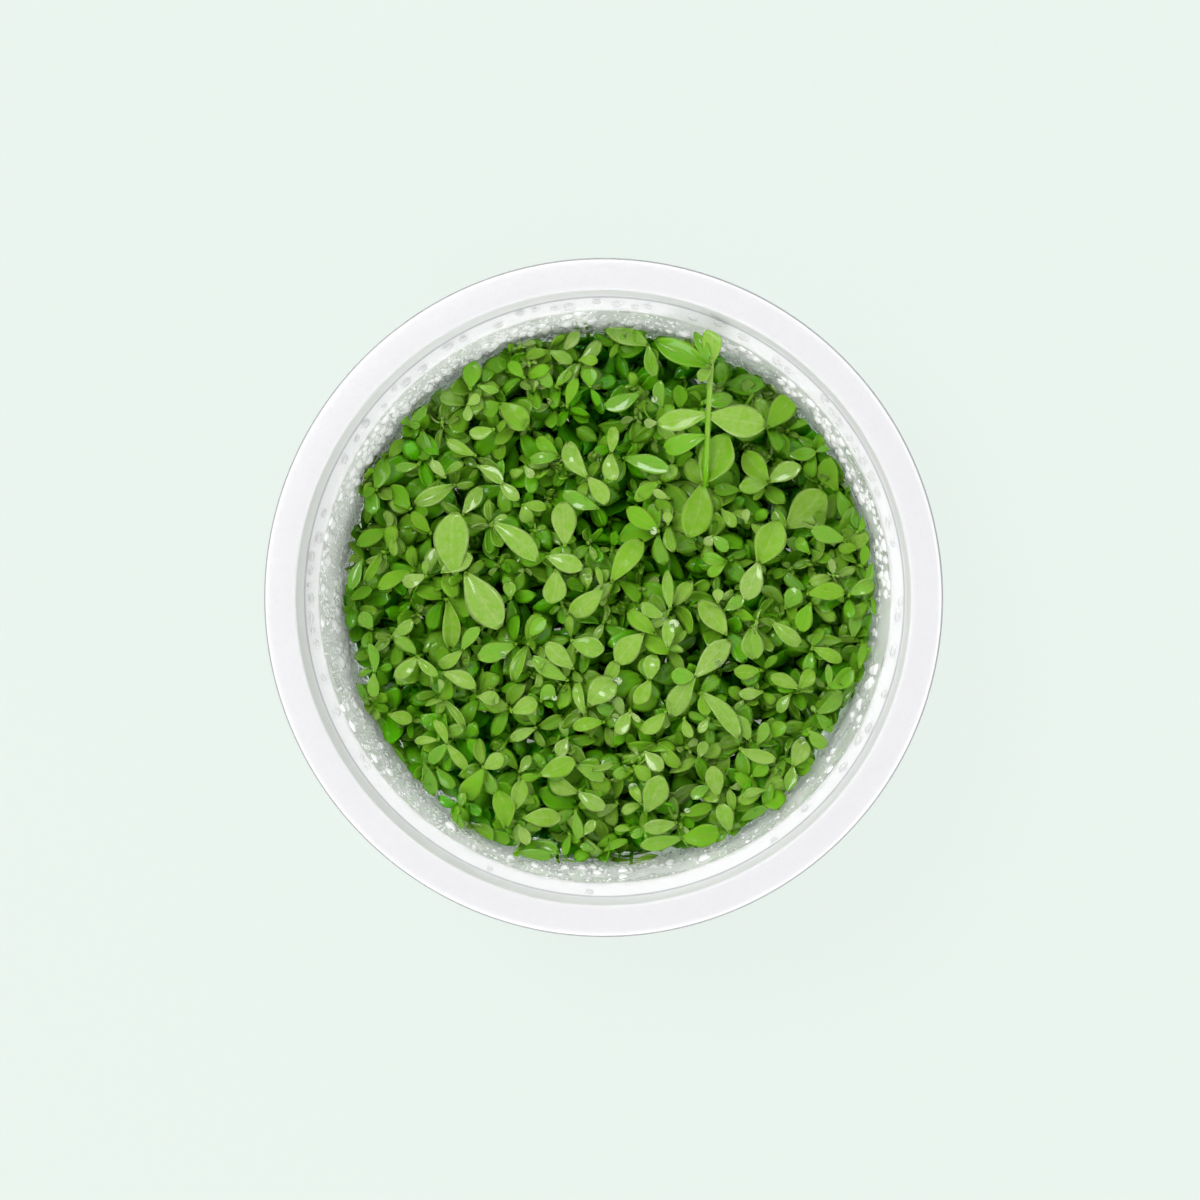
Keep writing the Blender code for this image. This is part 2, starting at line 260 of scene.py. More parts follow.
class NodeSheet:
    """A material whose nodes are laid out step by step around its Principled shader."""

    def __init__(self, name: str) -> None:
        """Start the material.

        Args:
            name: Name of the material.
        """
        self.material = bpy.data.materials.new(name)
        self.material.use_nodes = True
        self.nodes = self.material.node_tree.nodes
        self.links = self.material.node_tree.links
        self.shader = self.nodes["Principled BSDF"]

    def fix(self, **values: float | tuple[float, ...]) -> None:
        """Set the shader's own sockets.

        Args:
            values: Value for each socket, with underscores for the spaces in its name.
        """
        for name, value in values.items():
            self.shader.inputs[name.replace("_", " ")].default_value = value

    def feed(self, name: str, source: Socket) -> None:
        """Let a node drive one of the shader's sockets."""
        self.links.new(source, self.shader.inputs[name])

    def put(self, socket: Socket, source: Socket | float | tuple[float, ...]) -> None:
        """Link a socket to the output of another node, or set its value.

        Args:
            socket: Socket that it goes into.
            source: Output or value.
        """
        if isinstance(source, Socket):
            self.links.new(source, socket)
        else:
            socket.default_value = source

    def node(self, kind: str, *inputs: Socket | float | None, **settings: object) -> bpy.types.Node:
        """Add a node.

        Args:
            kind: Type of the node, without its prefix.
            inputs: What goes into its first sockets, in order: a socket, a value, or None to leave one.
            settings: Sockets and properties of the node by name.

        Returns:
            The node.
        """
        added = self.nodes.new("ShaderNode" + kind)
        for name, value in settings.items():
            if name in added.inputs:
                self.put(added.inputs[name], value)
            else:
                setattr(added, name, value)
        for socket, source in zip(added.inputs, inputs):
            if source is not None:
                self.put(socket, source)
        return added

    def place(self) -> Socket:
        """Object coordinates."""
        return self.node("TexCoord").outputs["Object"]

    def attribute(self, name: str) -> Socket:
        """Value of one of the piece's own attributes."""
        return self.node("Attribute", attribute_name=name).outputs["Fac"]

    def number(self, operation: str, *inputs: Socket | float) -> Socket:
        """Result of a Math node."""
        return self.node("Math", *inputs, operation=operation).outputs[0]

    def times(self, first: Socket, last: Socket | float) -> Socket:
        """Product of two values."""
        return self.number("MULTIPLY", first, last)

    def total(self, *values: Socket) -> Socket:
        """Sum of several values."""
        return functools.reduce(lambda first, last: self.number("ADD", first, last), values)

    def between(self, share: Socket, first: Socket | float, last: Socket | float) -> Socket:
        """Value between two others, at a share of the way from the first to the last."""
        return self.node("Mix", share, None, first, last).outputs[0]

    def span(self, value: Socket, low: float, high: float, first: float = 0.0, last: float = 1.0) -> Socket:
        """Smoothly map a value from one range to another.

        Args:
            value: Value to map.
            low: Value that gives first.
            high: Value that gives last.
            first: Result at low.
            last: Result at high.

        Returns:
            The mapped value.
        """
        node = self.node("MapRange", value, low, high, first, last, interpolation_type="SMOOTHSTEP")
        return node.outputs[0]

    def noise(self, scale: float, detail: float = 2.0) -> Socket:
        """Noise from 0 to 1, with its lumps per metre and its octaves of finer noise."""
        return self.node("TexNoise", self.place(), Scale=scale, Detail=detail).outputs[0]

    def cells(self, scale: float) -> Socket:
        """Distance to the middle of round cells, with the cells per metre."""
        return self.node("TexVoronoi", self.place(), Scale=scale).outputs["Distance"]

    def blend(self, share: Socket, first: Socket | Colour, last: Socket | Colour) -> Socket:
        """Mix two colours.

        Args:
            share: Share of the last colour.
            first: First colour.
            last: Last colour.

        Returns:
            The mixed colour.
        """
        node = self.nodes.new("ShaderNodeMix")
        node.data_type = "RGBA"
        sockets = {socket.identifier: socket for socket in (*node.inputs, *node.outputs)}
        self.links.new(share, sockets["Factor_Float"])
        for name, source in (("A_Color", first), ("B_Color", last)):
            self.put(sockets[name], source if isinstance(source, Socket) else (*source, 1.0))
        return sockets["Result_Color"]

    def ramp(self, value: Socket, *stops: tuple[float, Colour]) -> Socket:
        """Colour ramp.

        Args:
            value: Value from 0 to 1.
            stops: Place and colour of each stop, in order.

        Returns:
            The colour.
        """
        node = self.node("ValToRGB", value)
        elements = node.color_ramp.elements
        while len(elements) < len(stops):
            elements.new(1.0)
        for element, (place, colour) in zip(elements, stops):
            element.position = place
            element.color = (*colour, 1.0)
        return node.outputs[0]

    def bump(self, height: Socket, distance: float, strength: float, below: Socket | None = None) -> Socket:
        """Raise the surface by a height pattern.

        Args:
            height: Pattern of heights from 0 to 1.
            distance: Height of 1, in metres.
            strength: How strongly it shows.
            below: Normal of a bump that this one stands on.

        Returns:
            The normal.
        """
        node = self.node("Bump", Strength=strength, Distance=distance, Height=height)
        if below is not None:
            self.put(node.inputs["Normal"], below)
        return node.outputs[0]


@dataclass(frozen=True)
class CupPlastic:
    """Thin clear moulded plastic, milky on the flange and the shoulder, fogged in patches on its wall.

    Heights and radii say where each zone starts, and each roughness runs from the first value to the last one
    over its zone. The fog leans towards the side of the cup that is at the top left of the photograph.
    Painted light lifts the shoulder's white above the flange's, and painted shade darkens the throat, a thin
    line in the shoulder's crease and a thin ring near the flange's outer edge.
    """

    clear: Colour = (0.97, 0.985, 0.975)
    milky: Colour = (0.720, 0.717, 0.730)
    # Painted light: the shoulder's white is lighter than the flange's, lifted against the shade in its
    # recess.
    shoulder: Colour = (0.80, 0.80, 0.808)
    # Painted shade: the thin dark ring near the flange's outer edge.
    edge_outline_shade: Colour = (0.26, 0.265, 0.27)
    # Painted shade: the thin darker line in the crease where the shoulder meets the throat.
    crease: Colour = (0.52, 0.53, 0.54)
    milk_heights: Pair = (45.0 * MM, 45.7 * MM)
    flange_heights: Pair = (50.6 * MM, 51.2 * MM)
    edge_outline_radii: Pair = (49.66 * MM, 49.78 * MM)
    crease_radius: float = 44.55 * MM
    crease_width: float = 0.11 * MM
    # Painted shade: the throat is the shoulder's white, darkened by this share.
    throat_shade: float = 0.92
    milk_transmission: float = 0.15
    flange_transmission: float = 0.12
    clear_transmission: float = 0.98
    fog_transmission: float = 0.12
    fog_scale: float = 130.0
    fog_lean: float = 1.6
    fog_limits: Pair = (0.28, 0.66)
    fog_heights: Pair = (14.0 * MM, 30.0 * MM)
    veil: float = 0.50
    thickest: float = 0.78
    film: float = 0.70
    droplet_scale: float = 2100.0
    droplet_edges: Pair = (0.46, 0.28)
    droplet_height: float = 0.05 * MM
    droplet_strength: float = 0.5
    ripple_scale: float = 60.0
    ripple_height: float = 0.05 * MM
    ripple_strength: float = 0.25
    wall_roughness: Pair = (0.05, 0.42)
    milk_roughness: Pair = (0.60, 0.36)
    scatter_depth: float = 1.0 * MM

    def material(self) -> bpy.types.Material:
        """Lay out the material.

        Returns:
            The material.
        """
        sheet = NodeSheet("cup_plastic")
        place = sheet.node("SeparateXYZ", sheet.place())
        across, up, height = (place.outputs[axis] for axis in "XYZ")
        radius = sheet.number("SQRT", sheet.number("MULTIPLY_ADD", up, up, sheet.times(across, across)))
        milk = sheet.span(height, *self.milk_heights)
        flange = sheet.span(height, *self.flange_heights)
        # Painted shade: mask of the thin dark ring near the flange's outer edge.
        edge = sheet.span(radius, *self.edge_outline_radii)

        # Fog in patches, full of fine droplets
        lean = sheet.times(sheet.number("SUBTRACT", up, across), self.fog_lean)
        leaning = sheet.total(sheet.noise(self.fog_scale), lean)
        patches = sheet.span(leaning, *self.fog_limits, self.veil, self.thickest)
        fog = sheet.times(patches, sheet.span(height, *self.fog_heights))
        droplets = sheet.span(sheet.cells(self.droplet_scale), *self.droplet_edges)
        frost = sheet.times(fog, sheet.span(droplets, 0.0, 1.0, self.film, 1.0))
        clear = sheet.span(frost, 0.0, 1.0, self.clear_transmission, self.fog_transmission)
        solid = sheet.span(flange, 0.0, 1.0, self.milk_transmission, self.flange_transmission)
        sheet.feed("Transmission Weight", sheet.between(milk, clear, solid))

        # Whites of the shoulder, the throat and the flange: painted light lifts the shoulder's white, and
        # painted shade darkens the throat, a thin line in the crease and a thin ring near the flange's outer
        # edge
        crease = sheet.number("COMPARE", radius, self.crease_radius, self.crease_width)
        throat = tuple(value * self.throat_shade for value in self.shoulder)
        ledge = sheet.blend(sheet.number("GREATER_THAN", radius, self.crease_radius), self.shoulder, throat)
        ledge = sheet.blend(crease, ledge, self.crease)
        whites = sheet.blend(flange, ledge, sheet.blend(edge, self.milky, self.edge_outline_shade))
        sheet.feed("Base Color", sheet.blend(milk, self.clear, whites))

        misted = sheet.span(fog, 0.0, 1.0, *self.wall_roughness)
        moulded = sheet.span(flange, 0.0, 1.0, *self.milk_roughness)
        sheet.feed("Roughness", sheet.between(milk, misted, moulded))
        ripple = sheet.bump(sheet.noise(self.ripple_scale, 1.0), self.ripple_height, self.ripple_strength)
        beads = sheet.times(droplets, fog)
        sheet.feed("Normal", sheet.bump(beads, self.droplet_height, self.droplet_strength, ripple))
        sheet.fix(IOR=1.49, Specular_IOR_Level=0.25, Subsurface_Weight=1.0,
                  Subsurface_Scale=self.scatter_depth, Subsurface_Radius=(1.0, 1.0, 1.0))
        return sheet.material


@dataclass(frozen=True)
class NutrientGel:
    """Pale cloudy nutrient gel, soft and wet."""

    colour: Colour = (0.83, 0.84, 0.76)
    cloud: Colour = (0.70, 0.72, 0.60)
    cloud_scale: float = 180.0
    cloud_detail: float = 4.0
    cloud_limits: Pair = (0.3, 0.7)
    roughness: Pair = (0.12, 0.35)
    ripple_scale: float = 300.0
    ripple_height: float = 0.03 * MM
    ripple_strength: float = 0.3
    transmission: float = 0.72

    def material(self) -> bpy.types.Material:
        """Lay out the material.

        Returns:
            The material.
        """
        sheet = NodeSheet("nutrient_gel")
        cloud = sheet.noise(self.cloud_scale, self.cloud_detail)
        sheet.feed("Base Color", sheet.blend(cloud, self.colour, self.cloud))
        sheet.feed("Roughness", sheet.span(cloud, *self.cloud_limits, *self.roughness))
        ripple = sheet.noise(self.ripple_scale, 1.0)
        sheet.feed("Normal", sheet.bump(ripple, self.ripple_height, self.ripple_strength))
        sheet.fix(IOR=1.34, Transmission_Weight=self.transmission)
        return sheet.material


@dataclass(frozen=True)
class LeafSkin:
    """Wet green skin of leaves and stems.

    The tone of a leaf runs from 0, an old dark leaf deep in the tuft, to 1, a pale young one; its dark,
    saturated low end is partly the leaves' own green and partly painted shade, for light filtered through the
    leaves above.
    The veins, the margin, patches and the cells of the skin lift that tone. The shade attribute darkens a
    leaf's
    colour towards a deep green: painted shade on the leaves that stand out, and a random spread on the
    others.
    A leaf's map runs across it from 0 to 1, and along it from its root, 0, to its tip, 1.
    """

    tones: tuple[tuple[float, Colour], ...] = (
        (0.00, (0.000, 0.135, 0.000)),
        (0.30, (0.006, 0.365, 0.000)),
        (0.60, (0.114, 0.446, 0.002)),
        (0.82, (0.194, 0.398, 0.022)),
        (1.00, (0.318, 0.462, 0.122)),
    )
    # Painted shade: the deep green that a leaf's colour darkens towards as its shade falls.
    deep: Colour = (0.000, 0.130, 0.000)
    vein_lift: float = 0.06
    vein_width: float = 0.06
    vein_groove: float = 0.10
    vein_depth: float = 0.05 * MM
    vein_strength: float = 0.6
    margin_lift: float = 0.07
    margin_start: float = 0.34
    side_vein_lift: float = 0.03
    side_vein_turns: float = 44.0
    side_vein_slant: float = -0.8
    side_vein_edges: Pair = (0.75, 1.0)
    side_vein_reach: Pair = (0.5, 0.1)
    patch_scale: float = 900.0
    patch_detail: float = 3.0
    patch_limits: Pair = (0.25, 0.75)
    patch_lift: float = 0.045
    cell_scale: float = 7000.0
    cell_limits: Pair = (0.2, 0.8)
    cell_lift: float = 0.025
    cell_height: float = 0.02 * MM
    cell_strength: float = 0.5
    bead_scale: float = 1900.0
    bead_edges: Pair = (0.26, 0.04)
    bead_height: float = 0.11 * MM
    bead_strength: float = 0.9
    rough_limits: Pair = (0.3, 0.7)
    roughness: Pair = (0.26, 0.46)

    def material(self) -> bpy.types.Material:
        """Lay out the material.

        Returns:
            The material.
        """
        sheet = NodeSheet("leaf_skin")
        blade = sheet.node("SeparateXYZ", sheet.node("UVMap", uv_map="blade").outputs[0])
        aside = sheet.number("ABSOLUTE", sheet.number("SUBTRACT", blade.outputs["X"], 0.5))
        vein = sheet.span(aside, self.vein_width, 0.0)
        margin = sheet.span(aside, self.margin_start, 0.5)
        slant = sheet.total(blade.outputs["Y"], sheet.times(aside, self.side_vein_slant))
        waves = sheet.number("SINE", sheet.times(slant, self.side_vein_turns))
        reach = sheet.span(aside, *self.side_vein_reach)
        side_veins = sheet.times(sheet.span(waves, *self.side_vein_edges), reach)
        patches = sheet.noise(self.patch_scale, self.patch_detail)
        cells = sheet.noise(self.cell_scale, 1.0)
        tone = sheet.total(
            sheet.attribute("tone"),
            sheet.span(patches, *self.patch_limits, -self.patch_lift, self.patch_lift),
            sheet.times(vein, self.vein_lift),
            sheet.times(margin, self.margin_lift),
            sheet.times(side_veins, self.side_vein_lift),
            sheet.span(cells, *self.cell_limits, -self.cell_lift, self.cell_lift),
        )
        skin = sheet.ramp(tone, *self.tones)
        # Painted shade: the colour is darkened towards the deep green by the leaf's shade.
        sheet.feed("Base Color", sheet.blend(sheet.attribute("shade"), self.deep, skin))
        sheet.feed("Roughness", sheet.span(patches, *self.rough_limits, *self.roughness))
        wet = sheet.attribute("wet")
        sheet.feed("Coat Weight", wet)
        beads = sheet.times(sheet.span(sheet.cells(self.bead_scale), *self.bead_edges), wet)
        relief = sheet.bump(cells, self.cell_height, self.cell_strength)
        groove = sheet.span(aside, 0.0, self.vein_groove)
        relief = sheet.bump(groove, self.vein_depth, self.vein_strength, relief)
        sheet.feed("Normal", sheet.bump(beads, self.bead_height, self.bead_strength, relief))
        sheet.fix(IOR=1.33, Specular_IOR_Level=0.14, Coat_Roughness=0.10, Subsurface_Weight=0.15,
                  Subsurface_Scale=0.5 * MM, Subsurface_Radius=(0.5, 1.0, 0.2))
        return sheet.material


@dataclass(frozen=True)
class ClearWater:
    """Water drops: clear on the leaves, and mostly white on the cup as painted light.

    A drop's tone is its height above its carrier, in its radius. Its rim is white, up to the end of the rise,
    a painted bright ring. The white of the drops on the cup is painted light for the bright light that each
    drop refracts.
    """

    name: str
    transmission: float = 0.98
    rim: float = 0.12
    rise: Pair = (0.05, 0.50)
    colour: Colour = (0.985, 0.99, 0.99)
    grain_scale: float = 2500.0
    grain_limits: Pair = (0.2, 0.8)
    roughest: float = 0.06

    def material(self) -> bpy.types.Material:
        """Lay out the material.

        Returns:
            The material.
        """
        sheet = NodeSheet(self.name)
        grain = sheet.noise(self.grain_scale, 1.0)
        tone = sheet.attribute("tone")
        sheet.feed("Roughness", sheet.span(grain, *self.grain_limits, 0.0, self.roughest))
        # Painted light: a white rim and a clearer dome, a painted bright ring at the drop's edge.
        sheet.feed("Transmission Weight", sheet.span(tone, *self.rise, self.rim, self.transmission))
        sheet.fix(Base_Color=(*self.colour, 1.0), IOR=1.333)
        return sheet.material


@dataclass(frozen=True)
class RootSkin:
    """Fine pale roots."""

    colour: Colour = (0.86, 0.85, 0.74)
    stain: Colour = (0.70, 0.70, 0.50)
    grain_scale: float = 1200.0
    grain_detail: float = 3.0
    grain_height: float = 0.03 * MM
    grain_strength: float = 0.5

    def material(self) -> bpy.types.Material:
        """Lay out the material.

        Returns:
            The material.
        """
        sheet = NodeSheet("root_skin")
        grain = sheet.noise(self.grain_scale, self.grain_detail)
        sheet.feed("Base Color", sheet.blend(grain, self.colour, self.stain))
        sheet.feed("Normal", sheet.bump(grain, self.grain_height, self.grain_strength))
        sheet.fix(Roughness=0.6)
        return sheet.material


@dataclass(frozen=True)
class Corner:
    """A corner of a turned profile: its radius and height, and how much it is rounded."""

    radius: float
    height: float
    fillet: float = 0.0


def round_corners(corners: list[Corner], steps: int = 5) -> list[Vector]:
    """Turn corners into the points of a profile, with an arc at each rounded one.

    Args:
        corners: Corners in order.
        steps: Steps of each arc.

    Returns:
        Points of radius and height.
    """
    places = [Vector((corner.radius, corner.height)) for corner in corners]
    points = []
    for index, (corner, here) in enumerate(zip(corners, places)):
        if corner.fillet == 0.0:
            points.append(here)
            continue
        back = (places[index - 1] - here).normalized()
        ahead = (places[index + 1] - here).normalized()
        half_angle = back.angle(ahead) / 2.0
        centre = here + (back + ahead).normalized() * corner.fillet / math.sin(half_angle)
        reach = corner.fillet / math.tan(half_angle)
        first = here + back * reach - centre
        last = here + ahead * reach - centre
        start = math.atan2(first.y, first.x)
        sweep = (math.atan2(last.y, last.x) - start + math.pi) % math.tau - math.pi
        for step in range(steps + 1):
            angle = start + sweep * step / steps
            points.append(centre + corner.fillet * Vector((math.cos(angle), math.sin(angle))))
    return points


def turn_profile(name: str, profile: list[Vector], segments: int) -> bpy.types.Object:
    """Model a closed turned shape: a filled circle whose edge is extruded ring by ring, and closed.

    Args:
        name: Name of the object.
        profile: Points of radius and height, none of them on the axis.
        segments: Points in each ring.

    Returns:
        The object, smooth, with its place in its mesh.
    """
    rest_selection()
    start = profile[0]
    bpy.ops.mesh.primitive_circle_add(vertices=segments, radius=start.x, fill_type="TRIFAN",
                                      location=(0.0, 0.0, start.y))
    item = bpy.context.object
    item.name = name
    item.data.name = name
    place_in_mesh(item)
    with editing(item):
        bpy.ops.mesh.select_mode(type="EDGE")
        bpy.ops.mesh.select_all(action="DESELECT")
        bpy.ops.mesh.select_non_manifold()
        for here, ahead in zip(profile, profile[1:]):
            bpy.ops.mesh.extrude_region_move(TRANSFORM_OT_translate={"value": (0.0, 0.0, ahead.y - here.y)})
            growth = ahead.x / here.x
            bpy.ops.transform.resize(value=(growth, growth, 1.0), center_override=(0.0, 0.0, ahead.y))
        bpy.ops.mesh.edge_face_add()
        bpy.ops.mesh.poke()
        bpy.ops.mesh.select_mode(type="VERT")
        bpy.ops.mesh.select_all(action="SELECT")
        bpy.ops.mesh.normals_make_consistent(inside=False)
    pick(item)
    bpy.ops.object.shade_smooth_by_angle(angle=SHARP_EDGE)
    return item


@dataclass
class CultureCup:
    """The moulded cup, with the sizes of the solid that it dresses."""

    height: float = 52.0 * MM
    rim_radius: float = 50.0 * MM
    flange_thickness: float = 1.0 * MM
    lip_depth: float = 2.6 * MM
    throat_top_radius: float = 45.2 * MM
    throat_base_radius: float = 44.8 * MM
    shoulder_top: float = 46.6 * MM
    shoulder_base: float = 45.2 * MM
    wall_top_radius: float = 42.6 * MM
    wall_base_radius: float = 38.4 * MM
    wall_thickness: float = 0.9 * MM
    floor_top: float = 2.2 * MM
    floor_thickness: float = 1.0 * MM
    floor_corner: float = 2.6 * MM
    foot_width: float = 3.0 * MM
    foot_inset: float = 0.2 * MM
    foot_slope: float = 0.6 * MM
    lip_round: float = 0.25 * MM
    foot_round: float = 0.3 * MM
    small_round: float = 0.5 * MM
    middle_round: float = 0.8 * MM
    middle: float = 1.0 * MM
    segments: int = 192

    def wall_radius(self, height: float | Array) -> float | Array:
        """Inner radius at a height, up to the shoulder."""
        climb = (height - self.floor_top) / (self.shoulder_base - self.floor_top)
        return self.wall_base_radius + (self.wall_top_radius - self.wall_base_radius) * climb

    def profile(self) -> list[Vector]:
        """Section of the cup: up its inside, over the rim, and down to the foot.

        Returns:
            Points of radius and height.
        """
        thickness = self.wall_thickness
        foot = self.wall_base_radius + thickness - self.foot_inset
        foot_inside = foot - self.foot_width
        lip_inside = self.rim_radius - thickness
        lip_base = self.height - self.lip_depth
        under_flange = self.height - self.flange_thickness
        under_floor = self.floor_top - self.floor_thickness
        return round_corners([
            Corner(self.middle, self.floor_top),
            Corner(self.wall_base_radius, self.floor_top, self.floor_corner),
            Corner(self.wall_top_radius, self.shoulder_base, self.small_round),
            Corner(self.throat_base_radius, self.shoulder_top, self.small_round),
            Corner(self.throat_top_radius, self.height, self.small_round),
            Corner(self.rim_radius, self.height, self.middle_round),
            Corner(self.rim_radius, lip_base, self.lip_round),
            Corner(lip_inside, lip_base, self.lip_round),
            Corner(lip_inside, under_flange),
            Corner(self.throat_top_radius + thickness, under_flange, self.middle_round),
            Corner(self.throat_base_radius + thickness, self.shoulder_top - thickness, self.small_round),
            Corner(self.wall_top_radius + thickness, self.shoulder_base - thickness, self.small_round),
            Corner(foot, 0.0, self.middle_round),
            Corner(foot_inside, 0.0, self.foot_round),
            Corner(foot_inside - self.foot_slope, under_floor),
            Corner(self.middle, under_floor),
        ])

    def build(self) -> None:
        """Model the cup and put it in place of its solid."""
        shell = turn_profile("cup_shell", self.profile(), self.segments)
        hand_over(shell, CupPlastic().material(), Slot.CUP, "cup")


@dataclass
class GelDisc:
    """The disc of nutrient gel on the cup's floor, with a raised rim at the wall."""

    cup: CultureCup
    top: float = 14.0 * MM
    meniscus_rise: float = 0.9 * MM
    meniscus_width: float = 2.2 * MM
    bend_round: float = 1.2 * MM
    crest_inset: float = 0.25 * MM
    crest_share: float = 0.62
    crest_round: float = 0.3 * MM
    wall_gap: float = 0.02 * MM
    middle: float = 1.0 * MM
    segments: int = 160

    def build(self) -> None:
        """Model the gel and put it in place of its solid."""
        edge = self.cup.wall_radius(self.top + self.meniscus_rise) - self.wall_gap
        floor = self.cup.floor_top + self.wall_gap
        crest = self.top + self.meniscus_rise * self.crest_share
        profile = round_corners([
            Corner(self.middle, self.top),
            Corner(edge - self.meniscus_width, self.top, self.bend_round),
            Corner(edge - self.crest_inset, crest, self.crest_round),
            Corner(edge, self.top + self.meniscus_rise),
            Corner(self.cup.wall_base_radius - self.wall_gap, floor, self.cup.floor_corner),
            Corner(self.middle, floor),
        ])
        disc = turn_profile("gel_disc", profile, self.segments)
        hand_over(disc, NutrientGel().material(), Slot.GEL, "gel")


@dataclass(frozen=True)
class Pattern:
    """A shape that is modelled once and copied: points, faces and map, as arrays."""

    points: Array
    corner_points: Array
    face_sizes: Array
    corner_map: Array

    @classmethod
    def read(cls, item: bpy.types.Object) -> "Pattern":
        """Take the arrays of a modelled object, and remove the object.

        Args:
            item: Mesh object with its place in its mesh.

        Returns:
            The pattern.
        """
        mesh = item.data
        points = np.zeros(len(mesh.vertices) * 3)
        mesh.vertices.foreach_get("co", points)
        corners = np.zeros(len(mesh.loops), int)
        mesh.loops.foreach_get("vertex_index", corners)
        sizes = np.zeros(len(mesh.polygons), int)
        mesh.polygons.foreach_get("loop_total", sizes)
        mapped = np.zeros(len(mesh.loops) * 2)
        if mesh.uv_layers:
            mesh.uv_layers[0].data.foreach_get("uv", mapped)
        bpy.data.objects.remove(item, do_unlink=True)
        return cls(points.reshape(-1, 3), corners, sizes, mapped.reshape(-1, 2))


class JoinedMesh:
    """Many copies of patterns, gathered as arrays and joined in one mesh."""

    def __init__(self) -> None:
        """Start with nothing."""
        self.points: list[Array] = []
        self.corners: list[Array] = []
        self.sizes: list[Array] = []
        self.maps: list[Array] = []
        self.values: dict[str, list[Array]] = {"tone": [], "wet": [], "shade": []}
        self.count = 0

    def add(self, pattern: Pattern, points: Array, tone: float | Array, wet: float = 0.3,
            shade: float = 1.0) -> None:
        """Add a copy of a pattern.

        Args:
            pattern: Shape that is copied.
            points: Places of its points in this copy.
            tone: Tone of the copy, or of each of its points.
            wet: How wet the copy is.
            shade: How bright it is, as a share of its tone: painted shade on the leaves that stand out, and
            a random spread on the others.
        """
        self.points.append(points)
        self.corners.append(pattern.corner_points + self.count)
        self.sizes.append(pattern.face_sizes)
        self.maps.append(pattern.corner_map)
        for name, value in (("tone", tone), ("wet", wet), ("shade", shade)):
            self.values[name].append(np.broadcast_to(np.asarray(value, float), len(points)))
        self.count += len(points)

    def build(self, name: str) -> bpy.types.Object:
        """Join the copies.

        Args:
            name: Name of the object.

        Returns:
            The object.
        """
        points = np.concatenate(self.points)
        corners = np.concatenate(self.corners)
        sizes = np.concatenate(self.sizes)
        mesh = bpy.data.meshes.new(name)
        mesh.vertices.add(len(points))
        mesh.vertices.foreach_set("co", points.ravel())
        mesh.loops.add(len(corners))
        mesh.loops.foreach_set("vertex_index", corners)
        mesh.polygons.add(len(sizes))
        mesh.polygons.foreach_set("loop_start", np.concatenate(([0], np.cumsum(sizes)[:-1])))
        mesh.polygons.foreach_set("loop_total", sizes)
        mesh.update(calc_edges=True)
        mesh.uv_layers.new(name="blade").data.foreach_set("uv", np.concatenate(self.maps).ravel())
        for label, values in self.values.items():
            mesh.attributes.new(label, "FLOAT", "POINT").data.foreach_set("value", np.concatenate(values))
        mesh.shade_smooth()
        return add_object(name, mesh)


class LeafForm(Enum):
    """Ways in which a leaf is shaped: how far its margins fold up, how it arches and how its tip curls."""

    # Each form has its fold, arch and curl. The last one is that of the small leaves at a shoot's tip.
    FLAT = (0.24, 0.10, 0.05)
    CUPPED = (0.58, -0.25, -0.10)
    FOLDED = (1.05, 0.15, 0.20)
    ARCHED = (0.36, 0.55, 0.35)
    CURLED = (-0.25, 0.30, 0.95)
    YOUNG = (0.60, -0.35, -0.25)

    @property
    def fold(self) -> float:
        """How far the margins stand above the midrib, as a share of the half width."""
        return self.value[0]

    @property
    def arch(self) -> float:
        """Angle at which the blade leaves its root, above the line to its tip."""
        return self.value[1]

    @property
    def curl(self) -> float:
        """Angle by which the last stretch turns down."""
        return self.value[2]


class Detail(Enum):
    """How finely a leaf is modelled: columns of faces across it, and levels of subdivision."""

    FINE = (4, 1)
    COMMON = (4, 0)
    PLAIN = (2, 0)


@dataclass(frozen=True)
class SeenLeaf:
    """A leaf that stands out in the photograph, read from it.

    The ends and the width are in the photograph's pixels, and the seen brightness is in hundredths of the
    tone:
    the leaf's own green together with the light and shade on it. A leaf that is dark in the photograph has
    the tone of a common one, in a darker painted shade.
    """

    least_tone: ClassVar[int] = 74
    unshaded: ClassVar[int] = 84
    shade_step: ClassVar[float] = 0.010

    form: LeafForm
    root_x: int
    root_y: int
    tip_x: int
    tip_y: int
    width: int
    seen_brightness: int

    @property
    def length(self) -> float:
        """Length in pixels."""
        return math.hypot(self.tip_x - self.root_x, self.tip_y - self.root_y)

    @property
    def tone(self) -> float:
        """Tone of the leaf."""
        return max(self.seen_brightness, self.least_tone) / 100.0

    @property
    def shade(self) -> float:
        """Painted shade of the leaf, as a share of its tone's brightness."""
        return 1.0 - max(0, self.unshaded - self.seen_brightness) * self.shade_step
